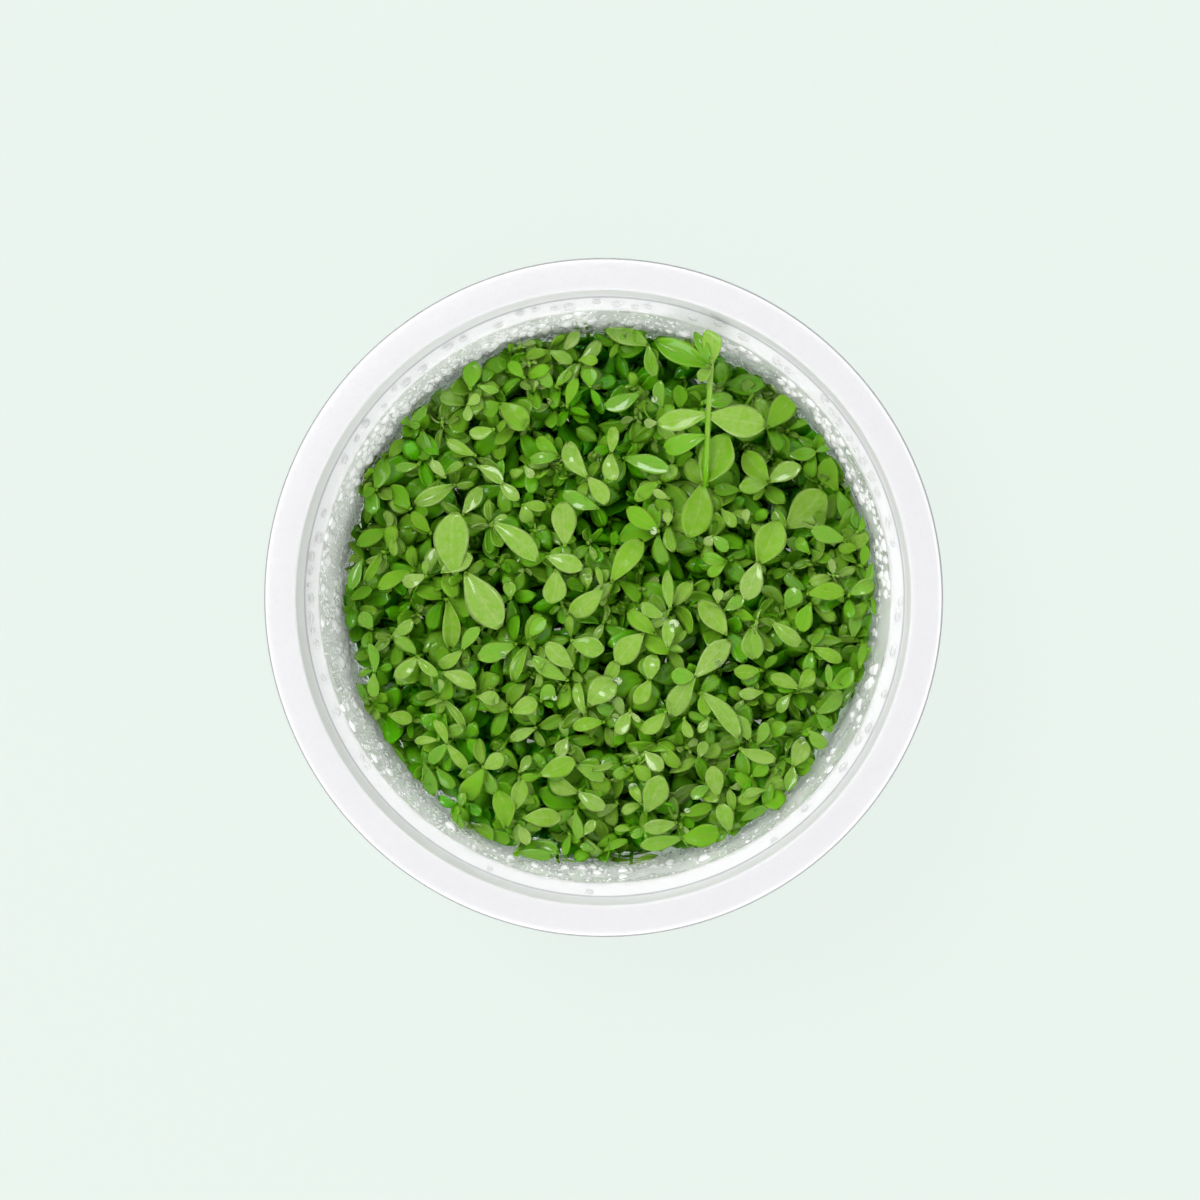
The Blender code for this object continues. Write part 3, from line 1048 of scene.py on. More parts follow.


# Each row is one leaf: its root, its tip, its width and its seen brightness, which holds its own green and
# the light and shade on it, in the order of SeenLeaf.
SEEN_LEAVES = {
    LeafForm.FLAT: (
        (475, 455, 446, 440, 13, 85), (493, 429, 469, 433, 14, 85), (422, 430, 424, 461, 20, 62),
        (441, 427, 466, 436, 14, 60), (468, 405, 468, 421, 10, 88), (389, 458, 405, 440, 14, 78),
        (549, 351, 525, 358, 12, 82), (549, 351, 573, 363, 13, 82), (532, 363, 552, 387, 15, 75),
        (556, 386, 572, 371, 11, 78), (580, 360, 598, 361, 12, 80), (500, 404, 481, 410, 20, 72),
        (640, 393, 604, 407, 18, 72), (567, 405, 577, 378, 12, 75), (590, 386, 590, 368, 18, 65),
        (483, 370, 508, 362, 18, 70), (564, 350, 578, 330, 13, 90), (648, 345, 605, 327, 24, 82),
        (640, 345, 655, 377, 16, 80),
        (680, 408, 679, 385, 17, 66), (662, 408, 660, 380, 13, 76), (703, 402, 733, 398, 17, 72),
        (768, 482, 739, 488, 19, 82), (770, 483, 801, 466, 19, 85), (838, 491, 827, 457, 24, 78),
        (759, 562, 746, 600, 24, 90), (702, 484, 689, 537, 34, 82), (658, 530, 627, 508, 20, 76),
        (658, 482, 635, 501, 16, 78), (624, 458, 670, 470, 18, 72), (768, 427, 795, 394, 26, 80),
        (788, 455, 816, 452, 15, 75), (808, 594, 845, 592, 19, 80), (670, 609, 667, 570, 13, 82),
        (725, 610, 744, 597, 14, 78), (456, 574, 455, 512, 35, 85), (463, 514, 481, 486, 16, 85),
        (376, 489, 384, 458, 20, 74), (410, 508, 390, 486, 22, 68), (388, 530, 357, 545, 17, 74),
        (411, 571, 378, 589, 16, 78), (430, 532, 412, 512, 14, 78), (466, 573, 500, 628, 38, 87),
        (500, 482, 519, 500, 14, 84), (478, 466, 503, 483, 14, 84), (523, 505, 547, 508, 12, 82),
        (565, 545, 563, 501, 27, 88), (588, 477, 607, 504, 19, 88), (598, 508, 562, 492, 18, 68),
        (493, 523, 538, 560, 24, 85), (547, 557, 583, 568, 20, 86), (740, 490, 713, 489, 14, 68),
        (713, 536, 728, 551, 14, 72), (845, 540, 811, 529, 18, 76), (858, 548, 838, 548, 13, 80),
        (443, 673, 476, 687, 17, 87), (462, 650, 479, 627, 13, 78), (392, 637, 413, 620, 13, 83),
        (372, 629, 361, 612, 17, 76), (389, 715, 413, 720, 15, 84), (447, 744, 434, 720, 11, 85),
        (374, 673, 374, 698, 13, 80), (573, 668, 546, 643, 20, 86), (567, 680, 532, 657, 17, 80),
        (515, 645, 478, 658, 20, 76), (478, 697, 500, 700, 16, 86), (530, 636, 545, 618, 16, 76),
        (541, 700, 553, 686, 15, 75), (726, 634, 699, 601, 26, 87), (695, 677, 730, 640, 24, 88),
        (698, 682, 671, 717, 22, 86), (702, 693, 740, 738, 20, 86), (643, 634, 617, 664, 26, 87),
        (690, 672, 671, 675, 15, 72), (630, 712, 618, 735, 16, 85), (665, 713, 641, 732, 17, 85),
        (760, 670, 734, 672, 16, 82), (762, 692, 739, 694, 12, 88), (750, 740, 735, 716, 17, 82),
        (810, 604, 802, 632, 19, 74), (843, 640, 806, 638, 14, 80), (853, 638, 857, 612, 14, 78),
        (799, 688, 770, 676, 15, 86), (790, 695, 778, 713, 13, 80), (808, 730, 827, 748, 15, 80),
        (786, 608, 798, 588, 20, 75), (540, 775, 575, 760, 22, 82), (576, 766, 605, 780, 16, 80),
        (578, 792, 606, 808, 17, 86), (524, 818, 562, 818, 21, 86), (575, 812, 580, 839, 12, 78),
        (484, 768, 503, 755, 17, 87), (480, 842, 511, 838, 20, 70), (516, 852, 552, 856, 16, 72),
        (645, 752, 663, 770, 17, 88), (634, 766, 650, 780, 16, 80), (646, 812, 662, 776, 26, 84),
        (676, 823, 643, 828, 16, 87), (718, 796, 712, 766, 19, 88), (710, 785, 691, 798, 13, 75),
        (683, 815, 713, 806, 14, 78), (682, 838, 720, 830, 24, 76), (678, 840, 640, 846, 14, 80),
        (740, 749, 776, 760, 15, 88), (764, 790, 742, 797, 10, 85), (603, 852, 628, 840, 9, 76),
        (371, 488, 358, 491, 9, 66), (360, 531, 348, 527, 8, 58), (418, 465, 394, 468, 11, 74),
        (362, 560, 350, 590, 14, 66), (350, 600, 372, 588, 12, 68), (357, 612, 347, 592, 9, 64),
        (369, 673, 369, 643, 11, 76), (368, 704, 356, 683, 12, 60), (392, 745, 376, 713, 10, 60),
        (391, 746, 405, 770, 10, 60), (424, 764, 434, 796, 16, 62), (437, 768, 455, 788, 14, 66),
        (448, 748, 468, 770, 11, 86), (452, 748, 430, 764, 15, 72), (409, 425, 396, 410, 13, 64),
        (410, 419, 427, 406, 8, 74), (432, 412, 439, 386, 14, 66), (439, 418, 449, 398, 11, 74),
        (451, 413, 462, 388, 18, 70), (470, 388, 473, 360, 20, 68), (465, 403, 479, 394, 12, 88),
        (479, 386, 499, 391, 9, 80), (523, 377, 508, 362, 14, 72), (404, 432, 420, 425, 13, 70),
        (570, 835, 564, 856, 9, 70), (583, 835, 595, 820, 11, 84), (631, 830, 614, 829, 7, 84),
        (645, 828, 631, 837, 10, 68), (696, 843, 685, 849, 9, 48), (694, 849, 701, 864, 2, 35),
        (594, 850, 580, 845, 9, 72), (619, 858, 587, 859, 9, 70), (458, 813, 460, 833, 7, 66),
        (847, 490, 861, 481, 8, 66), (842, 494, 858, 524, 15, 72), (858, 532, 867, 515, 9, 68),
        (862, 566, 865, 545, 10, 68), (815, 452, 834, 446, 7, 64), (866, 584, 875, 563, 12, 70),
        (873, 598, 878, 616, 8, 62), (860, 667, 867, 642, 10, 76), (829, 688, 828, 664, 8, 78),
        (836, 690, 853, 668, 17, 74), (840, 702, 859, 682, 11, 64), (816, 713, 842, 690, 15, 77),
        (818, 722, 811, 706, 10, 80), (790, 462, 781, 434, 16, 76), (797, 436, 814, 446, 10, 68),
        (785, 760, 816, 764, 15, 72), (793, 766, 789, 793, 15, 79), (772, 783, 765, 806, 12, 70),
        (740, 821, 767, 807, 11, 72), (752, 776, 768, 764, 14, 73), (786, 764, 772, 782, 12, 75),
        (818, 720, 833, 732, 10, 76), (758, 744, 766, 722, 13, 80), (768, 738, 786, 724, 16, 77),
        (731, 788, 743, 785, 8, 90),
    ),
    LeafForm.CURLED: (
        (483, 772, 457, 808, 20, 77), (788, 430, 812, 417, 8, 68),
    ),
    LeafForm.FOLDED: (
        (758, 556, 778, 520, 28, 84),
        (768, 482, 744, 451, 24, 82), (454, 485, 414, 504, 18, 86), (382, 552, 364, 582, 10, 80),
        (447, 600, 450, 650, 19, 84), (528, 645, 513, 682, 14, 80), (372, 652, 390, 637, 10, 82),
        (510, 598, 509, 581, 14, 80), (655, 633, 627, 612, 17, 80), (752, 627, 755, 660, 24, 82),
        (443, 700, 466, 731, 9, 85), (513, 810, 522, 779, 17, 84), (733, 812, 729, 789, 10, 86),
        (787, 527, 773, 510, 14, 78), (592, 770, 614, 763, 7, 90), (726, 562, 702, 556, 14, 74),
        (506, 828, 497, 790, 22, 80),
    ),
    LeafForm.ARCHED: (
        (502, 404, 530, 430, 24, 80), (586, 472, 565, 437, 18, 85), (559, 457, 533, 436, 15, 75),
        (556, 461, 526, 459, 12, 75), (611, 453, 614, 423, 12, 85),
        (763, 400, 741, 378, 14, 80), (809, 553, 795, 536, 13, 74), (850, 594, 878, 583, 16, 78),
        (613, 456, 613, 484, 16, 85), (612, 581, 645, 535, 24, 82), (728, 566, 706, 578, 12, 78),
        (417, 657, 392, 680, 15, 85), (412, 657, 439, 677, 12, 84), (459, 652, 436, 670, 13, 86),
        (425, 575, 399, 584, 15, 90), (602, 588, 567, 620, 24, 86), (524, 508, 531, 525, 13, 82),
        (586, 716, 575, 677, 12, 84), (603, 722, 570, 728, 14, 80), (772, 622, 804, 648, 17, 84),
        (813, 648, 845, 663, 14, 82), (650, 680, 655, 652, 18, 84), (668, 648, 670, 617, 13, 84),
        (573, 790, 547, 778, 16, 88), (729, 832, 722, 800, 19, 82), (660, 744, 681, 770, 14, 80),
        (641, 803, 630, 783, 11, 84), (589, 705, 618, 678, 28, 86), (797, 683, 814, 668, 14, 82),
        (438, 740, 411, 742, 9, 88), (512, 712, 540, 700, 19, 86), (535, 728, 508, 742, 12, 85),
    ),
    LeafForm.CUPPED: (
        (793, 522, 824, 490, 32, 86), (556, 571, 551, 605, 24, 87), (572, 641, 606, 648, 22, 82),
        (442, 572, 473, 555, 22, 87), (664, 616, 640, 603, 14, 84), (702, 694, 706, 716, 15, 82),
        (648, 685, 635, 705, 14, 85), (520, 772, 530, 755, 11, 84), (567, 738, 559, 757, 15, 90),
        (519, 826, 528, 845, 13, 92), (792, 760, 803, 738, 17, 90), (684, 719, 692, 738, 11, 88),
        (708, 719, 699, 733, 10, 88), (617, 804, 597, 816, 10, 86), (699, 757, 705, 740, 12, 86),
    ),
    LeafForm.YOUNG: (
        (657, 423, 643, 422, 10, 98), (746, 522, 746, 508, 9, 97), (668, 498, 652, 490, 9, 96),
        (393, 533, 392, 511, 9, 94), (394, 536, 395, 558, 9, 86), (427, 577, 425, 560, 8, 82),
        (445, 477, 430, 459, 11, 92), (525, 467, 534, 479, 9, 96), (718, 602, 718, 588, 12, 92),
        (713, 540, 704, 545, 9, 96), (440, 691, 440, 678, 7, 95), (588, 586, 588, 573, 8, 88),
        (444, 697, 424, 705, 7, 86), (633, 710, 641, 723, 6, 95), (722, 510, 737, 527, 13, 84),
        (494, 520, 508, 515, 6, 86), (600, 590, 597, 565, 7, 86), (668, 524, 668, 511, 11, 88),
    ),
}


# Each row is one water drop on a leaf: its middle and its width in the photograph's pixels.
SEEN_DROPS = (
    (681, 616, 10), (651, 405, 7), (656, 541, 8), (617, 681, 10), (633, 787, 9), (802, 741, 8), (718, 663, 9),
    (588, 577, 6), (554, 708, 6), (503, 655, 7), (679, 805, 6),
)


# Each row is one big drop on the wall, in the same way.
SEEN_BEADS = (
    (572, 858, 12), (623, 871, 11), (565, 868, 9), (612, 862, 8), (601, 870, 6), (535, 866, 8), (654, 866, 7),
    (662, 865, 6), (670, 864, 6), (880, 593, 8), (878, 576, 8), (872, 648, 7), (345, 634, 9), (341, 645, 8),
    (829, 442, 8), (874, 546, 9), (545, 331, 12), (534, 334, 8), (484, 362, 8), (445, 371, 9),
)


@dataclass(frozen=True)
class LeaningSprig:
    """The long sprig at the top right, with the path of its solid's stem.

    Each leaf has its place along the stem from the gel, 0, to the tip, 1, and the height of its own tip.
    """

    end: float = 0.91
    base_radius: float = 0.55 * MM
    tip_radius: float = 0.42 * MM
    tone: float = 0.50
    wet: float = 0.5
    roll: float = 0.2
    twist: float = 0.3

    stem: tuple[Triple, ...] = (
        (15.2 * MM, 16.9 * MM, 13.8 * MM),
        (15.2 * MM, 16.9 * MM, 30.3 * MM),
        (15.0 * MM, 15.0 * MM, 46.0 * MM),
        (15.0 * MM, 17.0 * MM, 43.5 * MM),
        (15.6 * MM, 30.0 * MM, 42.5 * MM),
        (16.3 * MM, 40.3 * MM, 49.0 * MM),
    )
    leaves: tuple[tuple[float, float, SeenLeaf], ...] = (
        (0.890, 49.2 * MM, SeenLeaf(LeafForm.FLAT, 710, 366, 713, 323, 20, 84)),
        (0.885, 47.0 * MM, SeenLeaf(LeafForm.FOLDED, 708, 367, 655, 341, 23, 72)),
        (0.895, 48.4 * MM, SeenLeaf(LeafForm.ARCHED, 706, 364, 694, 330, 11, 66)),
        (0.895, 48.0 * MM, SeenLeaf(LeafForm.YOUNG, 710, 364, 697, 384, 11, 88)),
        (0.745, 43.6 * MM, SeenLeaf(LeafForm.FLAT, 708, 414, 657, 424, 22, 85)),
        (0.740, 43.8 * MM, SeenLeaf(LeafForm.FLAT, 708, 417, 766, 425, 34, 87)),
        (0.400, 42.4 * MM, SeenLeaf(LeafForm.FOLDED, 706, 480, 727, 434, 33, 80)),
        (0.670, 42.0 * MM, SeenLeaf(LeafForm.ARCHED, 707, 437, 656, 452, 20, 74)),
    )


@dataclass(frozen=True)
class LeafModel:
    """A leaf of one unit of length, modelled from a grid: rows across it are widened, lifted and tilted."""

    length: float = 10.0 * MM
    half_widths: tuple[float, ...] = (0.040, 0.122, 0.215, 0.268, 0.274, 0.215, 0.060)
    columns: int = 4
    thickness: float = 0.040
    fold_height: float = 0.13
    fold_power: float = 1.3
    shift: float = 1e-6
    closest: float = 1e-6
    thick_group: str = "thick"

    @classmethod
    def width_share(cls, seen: SeenLeaf) -> float:
        """Width of a leaf of the photograph, against that of a model of its length."""
        return seen.width / seen.length / (2.0 * max(cls.half_widths))

    def build(self, form: LeafForm, finer: int = 0) -> Pattern:
        """Model one leaf along +Y, root at the origin, upper side up.

        Args:
            form: How it is shaped.
            finer: Levels of subdivision, for the few big leaves.

        Returns:
            The pattern.
        """
        rest_selection()
        rows = len(self.half_widths) - 1
        bpy.ops.mesh.primitive_grid_add(x_subdivisions=self.columns, y_subdivisions=rows, size=self.length,
                                        location=(0.0, self.length / 2.0, 0.0))
        item = bpy.context.object
        place_in_mesh(item)
        step = self.length / rows
        spine_y = 0.0
        spine_z = 0.0
        columns = self.columns + 1
        for row, half_width in enumerate(self.half_widths):
            share = row / rows
            slope = form.arch * (1.0 - 2.0 * share) - form.curl * share ** 2
            if row:
                spine_y += step * math.cos(slope)
                spine_z += step * math.sin(slope)
            start = step * row
            select_points(item, lambda point: point.index // columns == row)
            with editing(item):
                widening = half_width * 2.0
                bpy.ops.transform.resize(value=(widening, 1.0, 1.0), center_override=(0.0, start, 0.0))
                bpy.ops.transform.translate(value=(0.0, spine_y - start, spine_z + self.shift))
        self.raise_margins(item, form.fold)
        self.thicken(item, finer)
        return Pattern.read(item)

    def raise_margins(self, item: bpy.types.Object, fold: float) -> None:
        """Lift the points beside the midrib, the outermost ones most.

        Args:
            item: Flat blade, with its points in rows across it.
            fold: How far the margins stand above the midrib, as a share of the half width.
        """
        middle = self.columns // 2
        for aside in range(1, middle + 1):
            lift = fold * self.length * self.fold_height * (aside / middle) ** self.fold_power
            for side in (middle - aside, middle + aside):
                select_points(item, lambda point: point.index % (self.columns + 1) == side)
                with editing(item):
                    bpy.ops.transform.translate(value=(0.0, 0.0, lift))

    def thicken(self, item: bpy.types.Object, finer: int) -> None:
        """Give the blade its thickness, none at the margin, and close it.

        Args:
            item: Blade of one layer, with its points in rows across it.
            finer: Levels of subdivision.
        """
        columns = self.columns + 1
        rows = len(self.half_widths)
        group = item.vertex_groups.new(name=self.thick_group)
        for index in range(len(item.data.vertices)):
            row, column = divmod(index, columns)
            inside = 0 < row < rows - 1 and 0 < column < columns - 1
            group.add([index], 1.0 if inside else 0.0, "REPLACE")
        pick(item)
        if finer:
            smooth = item.modifiers.new("Finer", "SUBSURF")
            smooth.levels = finer
            smooth.render_levels = finer
            smooth.boundary_smooth = "PRESERVE_CORNERS"
            bpy.ops.object.modifier_apply(modifier=smooth.name)
        solid = item.modifiers.new("Thickness", "SOLIDIFY")
        solid.thickness = self.thickness * self.length
        solid.offset = -1.0
        solid.vertex_group = self.thick_group
        solid.thickness_vertex_group = 0.0
        bpy.ops.object.modifier_apply(modifier=solid.name)
        select_points(item, lambda point: True)
        with editing(item):
            bpy.ops.mesh.remove_doubles(threshold=self.closest)
            bpy.ops.mesh.select_all(action="SELECT")
            bpy.ops.mesh.normals_make_consistent(inside=False)


@dataclass(frozen=True)
class StemModel:
    """A straight stem of unit radius and unit length, modelled once and then laid along each shoot's path."""

    sides: int = 6
    rings: int = 12

    def build(self) -> Pattern:
        """Model the stem along +Z from the origin.

        Returns:
            The pattern.
        """
        profile = [Vector((1.0, ring / self.rings)) for ring in range(self.rings + 1)]
        return Pattern.read(turn_profile("stem", profile, self.sides))


def curve_points(controls: Iterable[Vector], places: Array) -> Array:
    """Find points on the smooth curve that a path's controls pull, from the first one to the last.

    Args:
        controls: Controls of the curve.
        places: Places along it, from 0 to 1.

    Returns:
        One point for each place.
    """
    stack = [np.tile(np.array(control), (len(places), 1)) for control in controls]
    share = places[:, None]
    while len(stack) > 1:
        stack = [first * (1.0 - share) + last * share for first, last in zip(stack, stack[1:])]
    return stack[0]


def unit(vectors: Array) -> Array:
    """Vectors of the same direction and of length 1."""
    return vectors / np.maximum(np.linalg.norm(vectors, axis=-1, keepdims=True), TINY)


@dataclass
class Leaf:
    """One leaf: its root, the direction to its tip, the direction that its upper side faces, and its size.

    The width is a share of the model's. The leaf bends aside by a share of its length, and its margins twist
    by a share of its width, one way towards the root and the other way towards the tip.
    """

    twist_middle: ClassVar[float] = 0.4

    root: Array
    ahead: Array
    face: Array
    length: float
    width: float
    form: LeafForm
    tone: float
    wet: float
    shade: float = 1.0
    bend: float = 0.0
    twist: float = 0.0
    detail: Detail = Detail.COMMON

    def lay(self, pattern: Pattern, mesh: JoinedMesh) -> None:
        """Add a copy of the leaf's pattern to a mesh.

        Args:
            pattern: Modelled leaf.
            mesh: Mesh that it goes into.
        """
        ahead = unit(self.ahead)
        side = unit(np.cross(ahead, self.face))
        face = np.cross(side, ahead)
        scale = self.length / LeafModel.length
        local = pattern.points * np.array((self.width * scale, scale, scale))
        along = pattern.points[:, 1] / LeafModel.length
        bow = 4.0 * along * (1.0 - along)
        local[:, 2] += self.twist * (along - self.twist_middle) * local[:, 0]
        local[:, 0] += self.bend * self.length * bow
        placed = local[:, :1] * side + local[:, 1:2] * ahead + local[:, 2:] * face
        mesh.add(pattern, self.root + placed, self.tone, self.wet, self.shade)


@dataclass
class Shoot:
    """A stem along a path from the gel to its tip, with leaves in opposite pairs.

    The stem ends at a share of its path, and its tone rises from the foot to the tip. Its direction is that
    between points a little apart, and its pattern is turned to a line that no stem runs along.
    """

    further: ClassVar[float] = 0.02
    tone_rise: ClassVar[float] = 0.42
    wet: ClassVar[float] = 0.35
    turn_line: ClassVar[Triple] = (0.31, 0.95, 0.05)

    controls: list[Vector]
    base_radius: float
    tip_radius: float
    leaves: list[Leaf] = field(default_factory=list)
    end: float = 1.0
    tone: float = 0.36

    def lay_stem(self, pattern: Pattern, mesh: JoinedMesh) -> None:
        """Lay the stem's pattern along the path and add it to a mesh.

        Args:
            pattern: Straight stem of unit radius and length.
            mesh: Mesh that it goes into.
        """
        places = np.clip(pattern.points[:, 2], 0.0, 1.0) * self.end
        middle = curve_points(self.controls, places)
        before = curve_points(self.controls, places - self.further)
        ahead = unit(curve_points(self.controls, places + self.further) - before)
        first = unit(np.cross(ahead, np.array(self.turn_line)))
        second = np.cross(ahead, first)
        radius = self.base_radius + (self.tip_radius - self.base_radius) * places
        offset = first * pattern.points[:, :1] + second * pattern.points[:, 1:2]
        mesh.add(pattern, middle + offset * radius[:, None], self.tone + self.tone_rise * places, self.wet)


@dataclass(frozen=True)
class Habit:
    """How the leaves of this plant stand on a shoot, in opposite pairs counted from the tip down.

    Depths and lengths are in mm. Rises are in degrees, from straight across the stem towards its tip. A
    spread is that of a normal draw, of the logarithm for sizes and lengths, and a range is that of an even
    draw. The tone falls with each mm below the top layer: partly the older, darker leaves, and partly painted
    shade of the layers above. Young leaves are lifted paler: partly their own pale green, and partly painted
    sheen.
    """

    depths: tuple[float, ...] = (0.15, 0.9, 2.4, 4.8, 7.6, 10.6, 13.6, 16.6)
    lengths: tuple[float, ...] = (1.2, 2.5, 3.9, 4.8, 5.1, 5.0, 4.7, 4.3)
    rises: tuple[float, ...] = (66.0, 46.0, 28.0, 16.0, 8.0, 3.0, -2.0, -6.0)
    young_pairs: int = 2
    inner_pairs: int = 6
    form_chances: tuple[float, ...] = (0.34, 0.16, 0.14, 0.26, 0.10)
    shoot_size: Pair = (-0.02, 0.22)
    biggest: float = 1.22
    vigour_spread: float = 0.05
    depth_range: Pair = (0.85, 1.15)
    lowest_place: float = 0.08
    turn_spread: float = 0.12
    rise_spread: float = 24.0
    roll_spread: float = 0.50
    skew_spread: float = 0.10
    length_spread: float = 0.10
    width_range: Pair = (0.76, 1.10)
    steepest_fall: float = -0.5
    least_climb: float = 0.05
    top_tone: float = 0.85
    tone_fall: float = 0.030
    tone_spread: float = 0.04
    palest: float = 0.86
    young_and_sheen_lift: float = 0.10
    shade_range: Pair = (0.86, 1.06)
    wet_share: float = 0.46
    wet: float = 0.8
    dry_range: Pair = (0.0, 0.25)
    bend_spread: float = 0.06
    twist_spread: float = 0.60


@dataclass(frozen=True)
class SeenHabit:
    """How a leaf that stands out in the photograph is set on its shoot, where the photograph doesn't tell.

    A spread is that of a normal draw. Rise, roll, bend and twist are shares of the leaf's length or width.
    """

    common_brightness: int = 80
    height_step: float = 0.08 * MM
    height_spread: float = 0.35 * MM
    foot_spread: float = 1.6 * MM
    bow_spread: float = 1.0 * MM
    same_node: float = 1.3 * MM
    first_pair: int = 2
    rise: float = 0.10
    rise_spread: float = 0.12
    roll_spread: float = 0.16
    bend_spread: float = 0.04
    twist_spread: float = 0.45


@dataclass
class Foliage:
    """All the shoots of the cup, sorted by the plantlet whose solid they stand for.

    The leaves that stand out in the photograph form the top layer, each on a shoot of its own or on the one
    of the leaf beside it. Other shoots fill the cup below that layer, and short dark ones cover the gel.
    The edge heights, in mm, tell how far the plants climb the wall, from +X round to +Y in twelfths of a
    turn. The edge waves make it ragged: each is a number of waves round the cup, a phase, and a height in mm.
    """

    cup: CultureCup
    gel: GelDisc
    view: PhotoView
    habit: Habit = Habit()
    seen_habit: SeenHabit = SeenHabit()
    seed: int = 7
    spacing: float = 4.1 * MM
    carpet_spacing: float = 3.15 * MM
    clearing: float = 2.7 * MM
    jitter: float = 1.3 * MM
    reach: float = 39.2 * MM
    foot_inset: float = 1.0 * MM
    foot_depth: float = 0.4 * MM
    top_middle: float = 33.0 * MM
    top_spread: float = 1.7 * MM
    carpet_top: float = 22.5 * MM
    carpet_spread: float = 2.0 * MM
    lean_spread: float = 2.6 * MM
    bow_spread: float = 1.2 * MM
    bow_back: float = 0.35
    edge_lean: float = 6.5 * MM
    edge_share: float = 0.78
    edge_heights: tuple[float, ...] = (34.5, 30.5, 31.0, 33.5, 33.0, 33.5, 31.0, 34.0, 39.0, 34.5, 36.5, 30.5)
    edge_waves: tuple[tuple[int, float, float], ...] = ((13, 0.0, 1.5), (23, 2.0, 1.4), (37, 4.0, 1.0))
    stem_base: float = 0.42 * MM
    stem_tip: float = 0.26 * MM
    wall_margin: float = 0.35 * MM
    wall_play: float = 1.3 * MM
    press: float = 1.0 * MM
    seen_middle: float = 36.4 * MM
    seen_above: float = 1.4 * MM
    seen_limit: float = 40.0 * MM
    filler_drop: float = 0.7 * MM
    plain_depth: float = 6.5
    sight_points: int = 8
    sight_width: float = 0.8 * MM
    least_gap: float = 0.05 * MM

    def __post_init__(self) -> None:
        """Model the patterns that the foliage copies."""
        self.rng = np.random.default_rng(self.seed)
        self.patterns: dict[tuple[LeafForm, Detail], Pattern] = {}
        for form in LeafForm:
            for detail in Detail:
                columns, finer = detail.value
                self.patterns[form, detail] = LeafModel(columns=columns).build(form, finer)
        self.stem = StemModel().build()
        self.homes = self.plantlet_homes()
        self.meshes = {name: JoinedMesh() for name in self.homes}
        self.seen_points: list[Array] = []

    @staticmethod
    def plantlet_homes() -> dict[str, Vector]:
        """Middle of each plantlet's solid, seen from above.

        Returns:
            Place by name of the solid.
        """
        homes = {}
        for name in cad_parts:
            if name.startswith("plantlet"):
                low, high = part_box(name)
                homes[name] = (low + high) / 2.0
        return homes

    def home_of(self, foot: Vector) -> str:
        """Name of the plantlet whose solid stands nearest to a shoot's foot."""
        return min(self.homes, key=lambda name: (self.homes[name].xy - foot.xy).length)

    def foot_at(self, x: float, y: float) -> Vector:
        """Foot of a shoot, a little below the top of the gel."""
        return Vector((x, y, self.gel.top - self.foot_depth))

    def feet(self, spacing: float) -> list[Vector]:
        """Feet of shoots: a jittered grid of triangles over the gel.

        Args:
            spacing: Distance between neighbours.

        Returns:
            Points on top of the gel.
        """
        found = []
        rows = int(self.reach / spacing) + 2
        for row in range(-rows, rows + 1):
            for column in range(-rows, rows + 1):
                across = (column + 0.5 * (row % 2)) * spacing
                up = row * spacing * math.sqrt(0.75)
                sway = self.rng.uniform(-self.jitter, self.jitter, 2)
                foot = self.foot_at(across + sway[0], up + sway[1])
                if foot.xy.length < self.reach:
                    found.append(foot)
        return found

    def edge_height(self, place: Vector) -> float:
        """Find how far the plants climb the wall, in the direction of a place.

        Args:
            place: Point that the direction goes to, from the middle of the cup.

        Returns:
            The height.
        """
        count = len(self.edge_heights)
        angle = math.atan2(place.y, place.x)
        turn = angle / math.tau * count
        first = math.floor(turn)
        share = turn - first
        share *= share * (3.0 - 2.0 * share)
        low = self.edge_heights[first % count]
        rise = (self.edge_heights[(first + 1) % count] - low) * share
        ragged = sum(size * math.sin(angle * number + phase) for number, phase, size in self.edge_waves)
        return (low + rise + ragged) * MM

    def layer_height(self, place: Vector) -> float:
        """Height of the top layer of leaves over a place."""
        share = min(place.xy.length / self.reach, 1.0)
        return self.seen_middle + (self.edge_height(place) + self.seen_above - self.seen_middle) * share ** 3

    def seen_shoots(self) -> list[Shoot]:
        """Grow the shoots of the leaves that stand out in the photograph.

        Returns:
            The shoots, with those leaves first and the pairs below them.
        """
        habit = self.seen_habit
        shoots: list[Shoot] = []
        for form, rows in SEEN_LEAVES.items():
            for row in rows:
                seen = SeenLeaf(form, *row)
                place = self.view.point(seen.root_x, seen.root_y, self.seen_middle)
                brighter = seen.seen_brightness - habit.common_brightness
                height = self.layer_height(place) + brighter * habit.height_step
                height += self.rng.normal(0.0, habit.height_spread)
                node = self.view.point(seen.root_x, seen.root_y, min(height, self.seen_limit))
                shoot = min(shoots, key=lambda other: (other.controls[-1].xy - node.xy).length, default=None)
                if shoot is None or (shoot.controls[-1].xy - node.xy).length > habit.same_node:
                    shoot = self.seen_stem(node)
                    shoots.append(shoot)
                self.add_seen_leaf(shoot, seen)
        for shoot in shoots:
            length = shoot.controls[-1].z - shoot.controls[0].z
            self.add_pairs(shoot, length, self.habit.inner_pairs, habit.first_pair)
        return shoots

    def seen_stem(self, node: Vector) -> Shoot:
        """Grow the stem of a leaf that stands out.

        Args:
            node: Point of the leaf's root.

        Returns:
            The shoot, from the gel up to that point.
        """
        sway = level_sway(self.rng, self.seen_habit.foot_spread)
        inward = min(1.0, (self.reach - self.foot_inset) / max((node + sway).xy.length, self.foot_inset))
        foot = self.foot_at((node.x + sway.x) * inward, (node.y + sway.y) * inward)
        middle = foot.lerp(node, 0.5) + level_sway(self.rng, self.seen_habit.bow_spread)
        return Shoot([foot, middle, node], self.stem_base, self.stem_tip)

    def wetness(self) -> float:
        """Draw how wet a leaf is: most are nearly dry, and the others wet."""
        habit = self.habit
        return habit.wet if self.rng.random() < habit.wet_share else self.rng.uniform(*habit.dry_range)

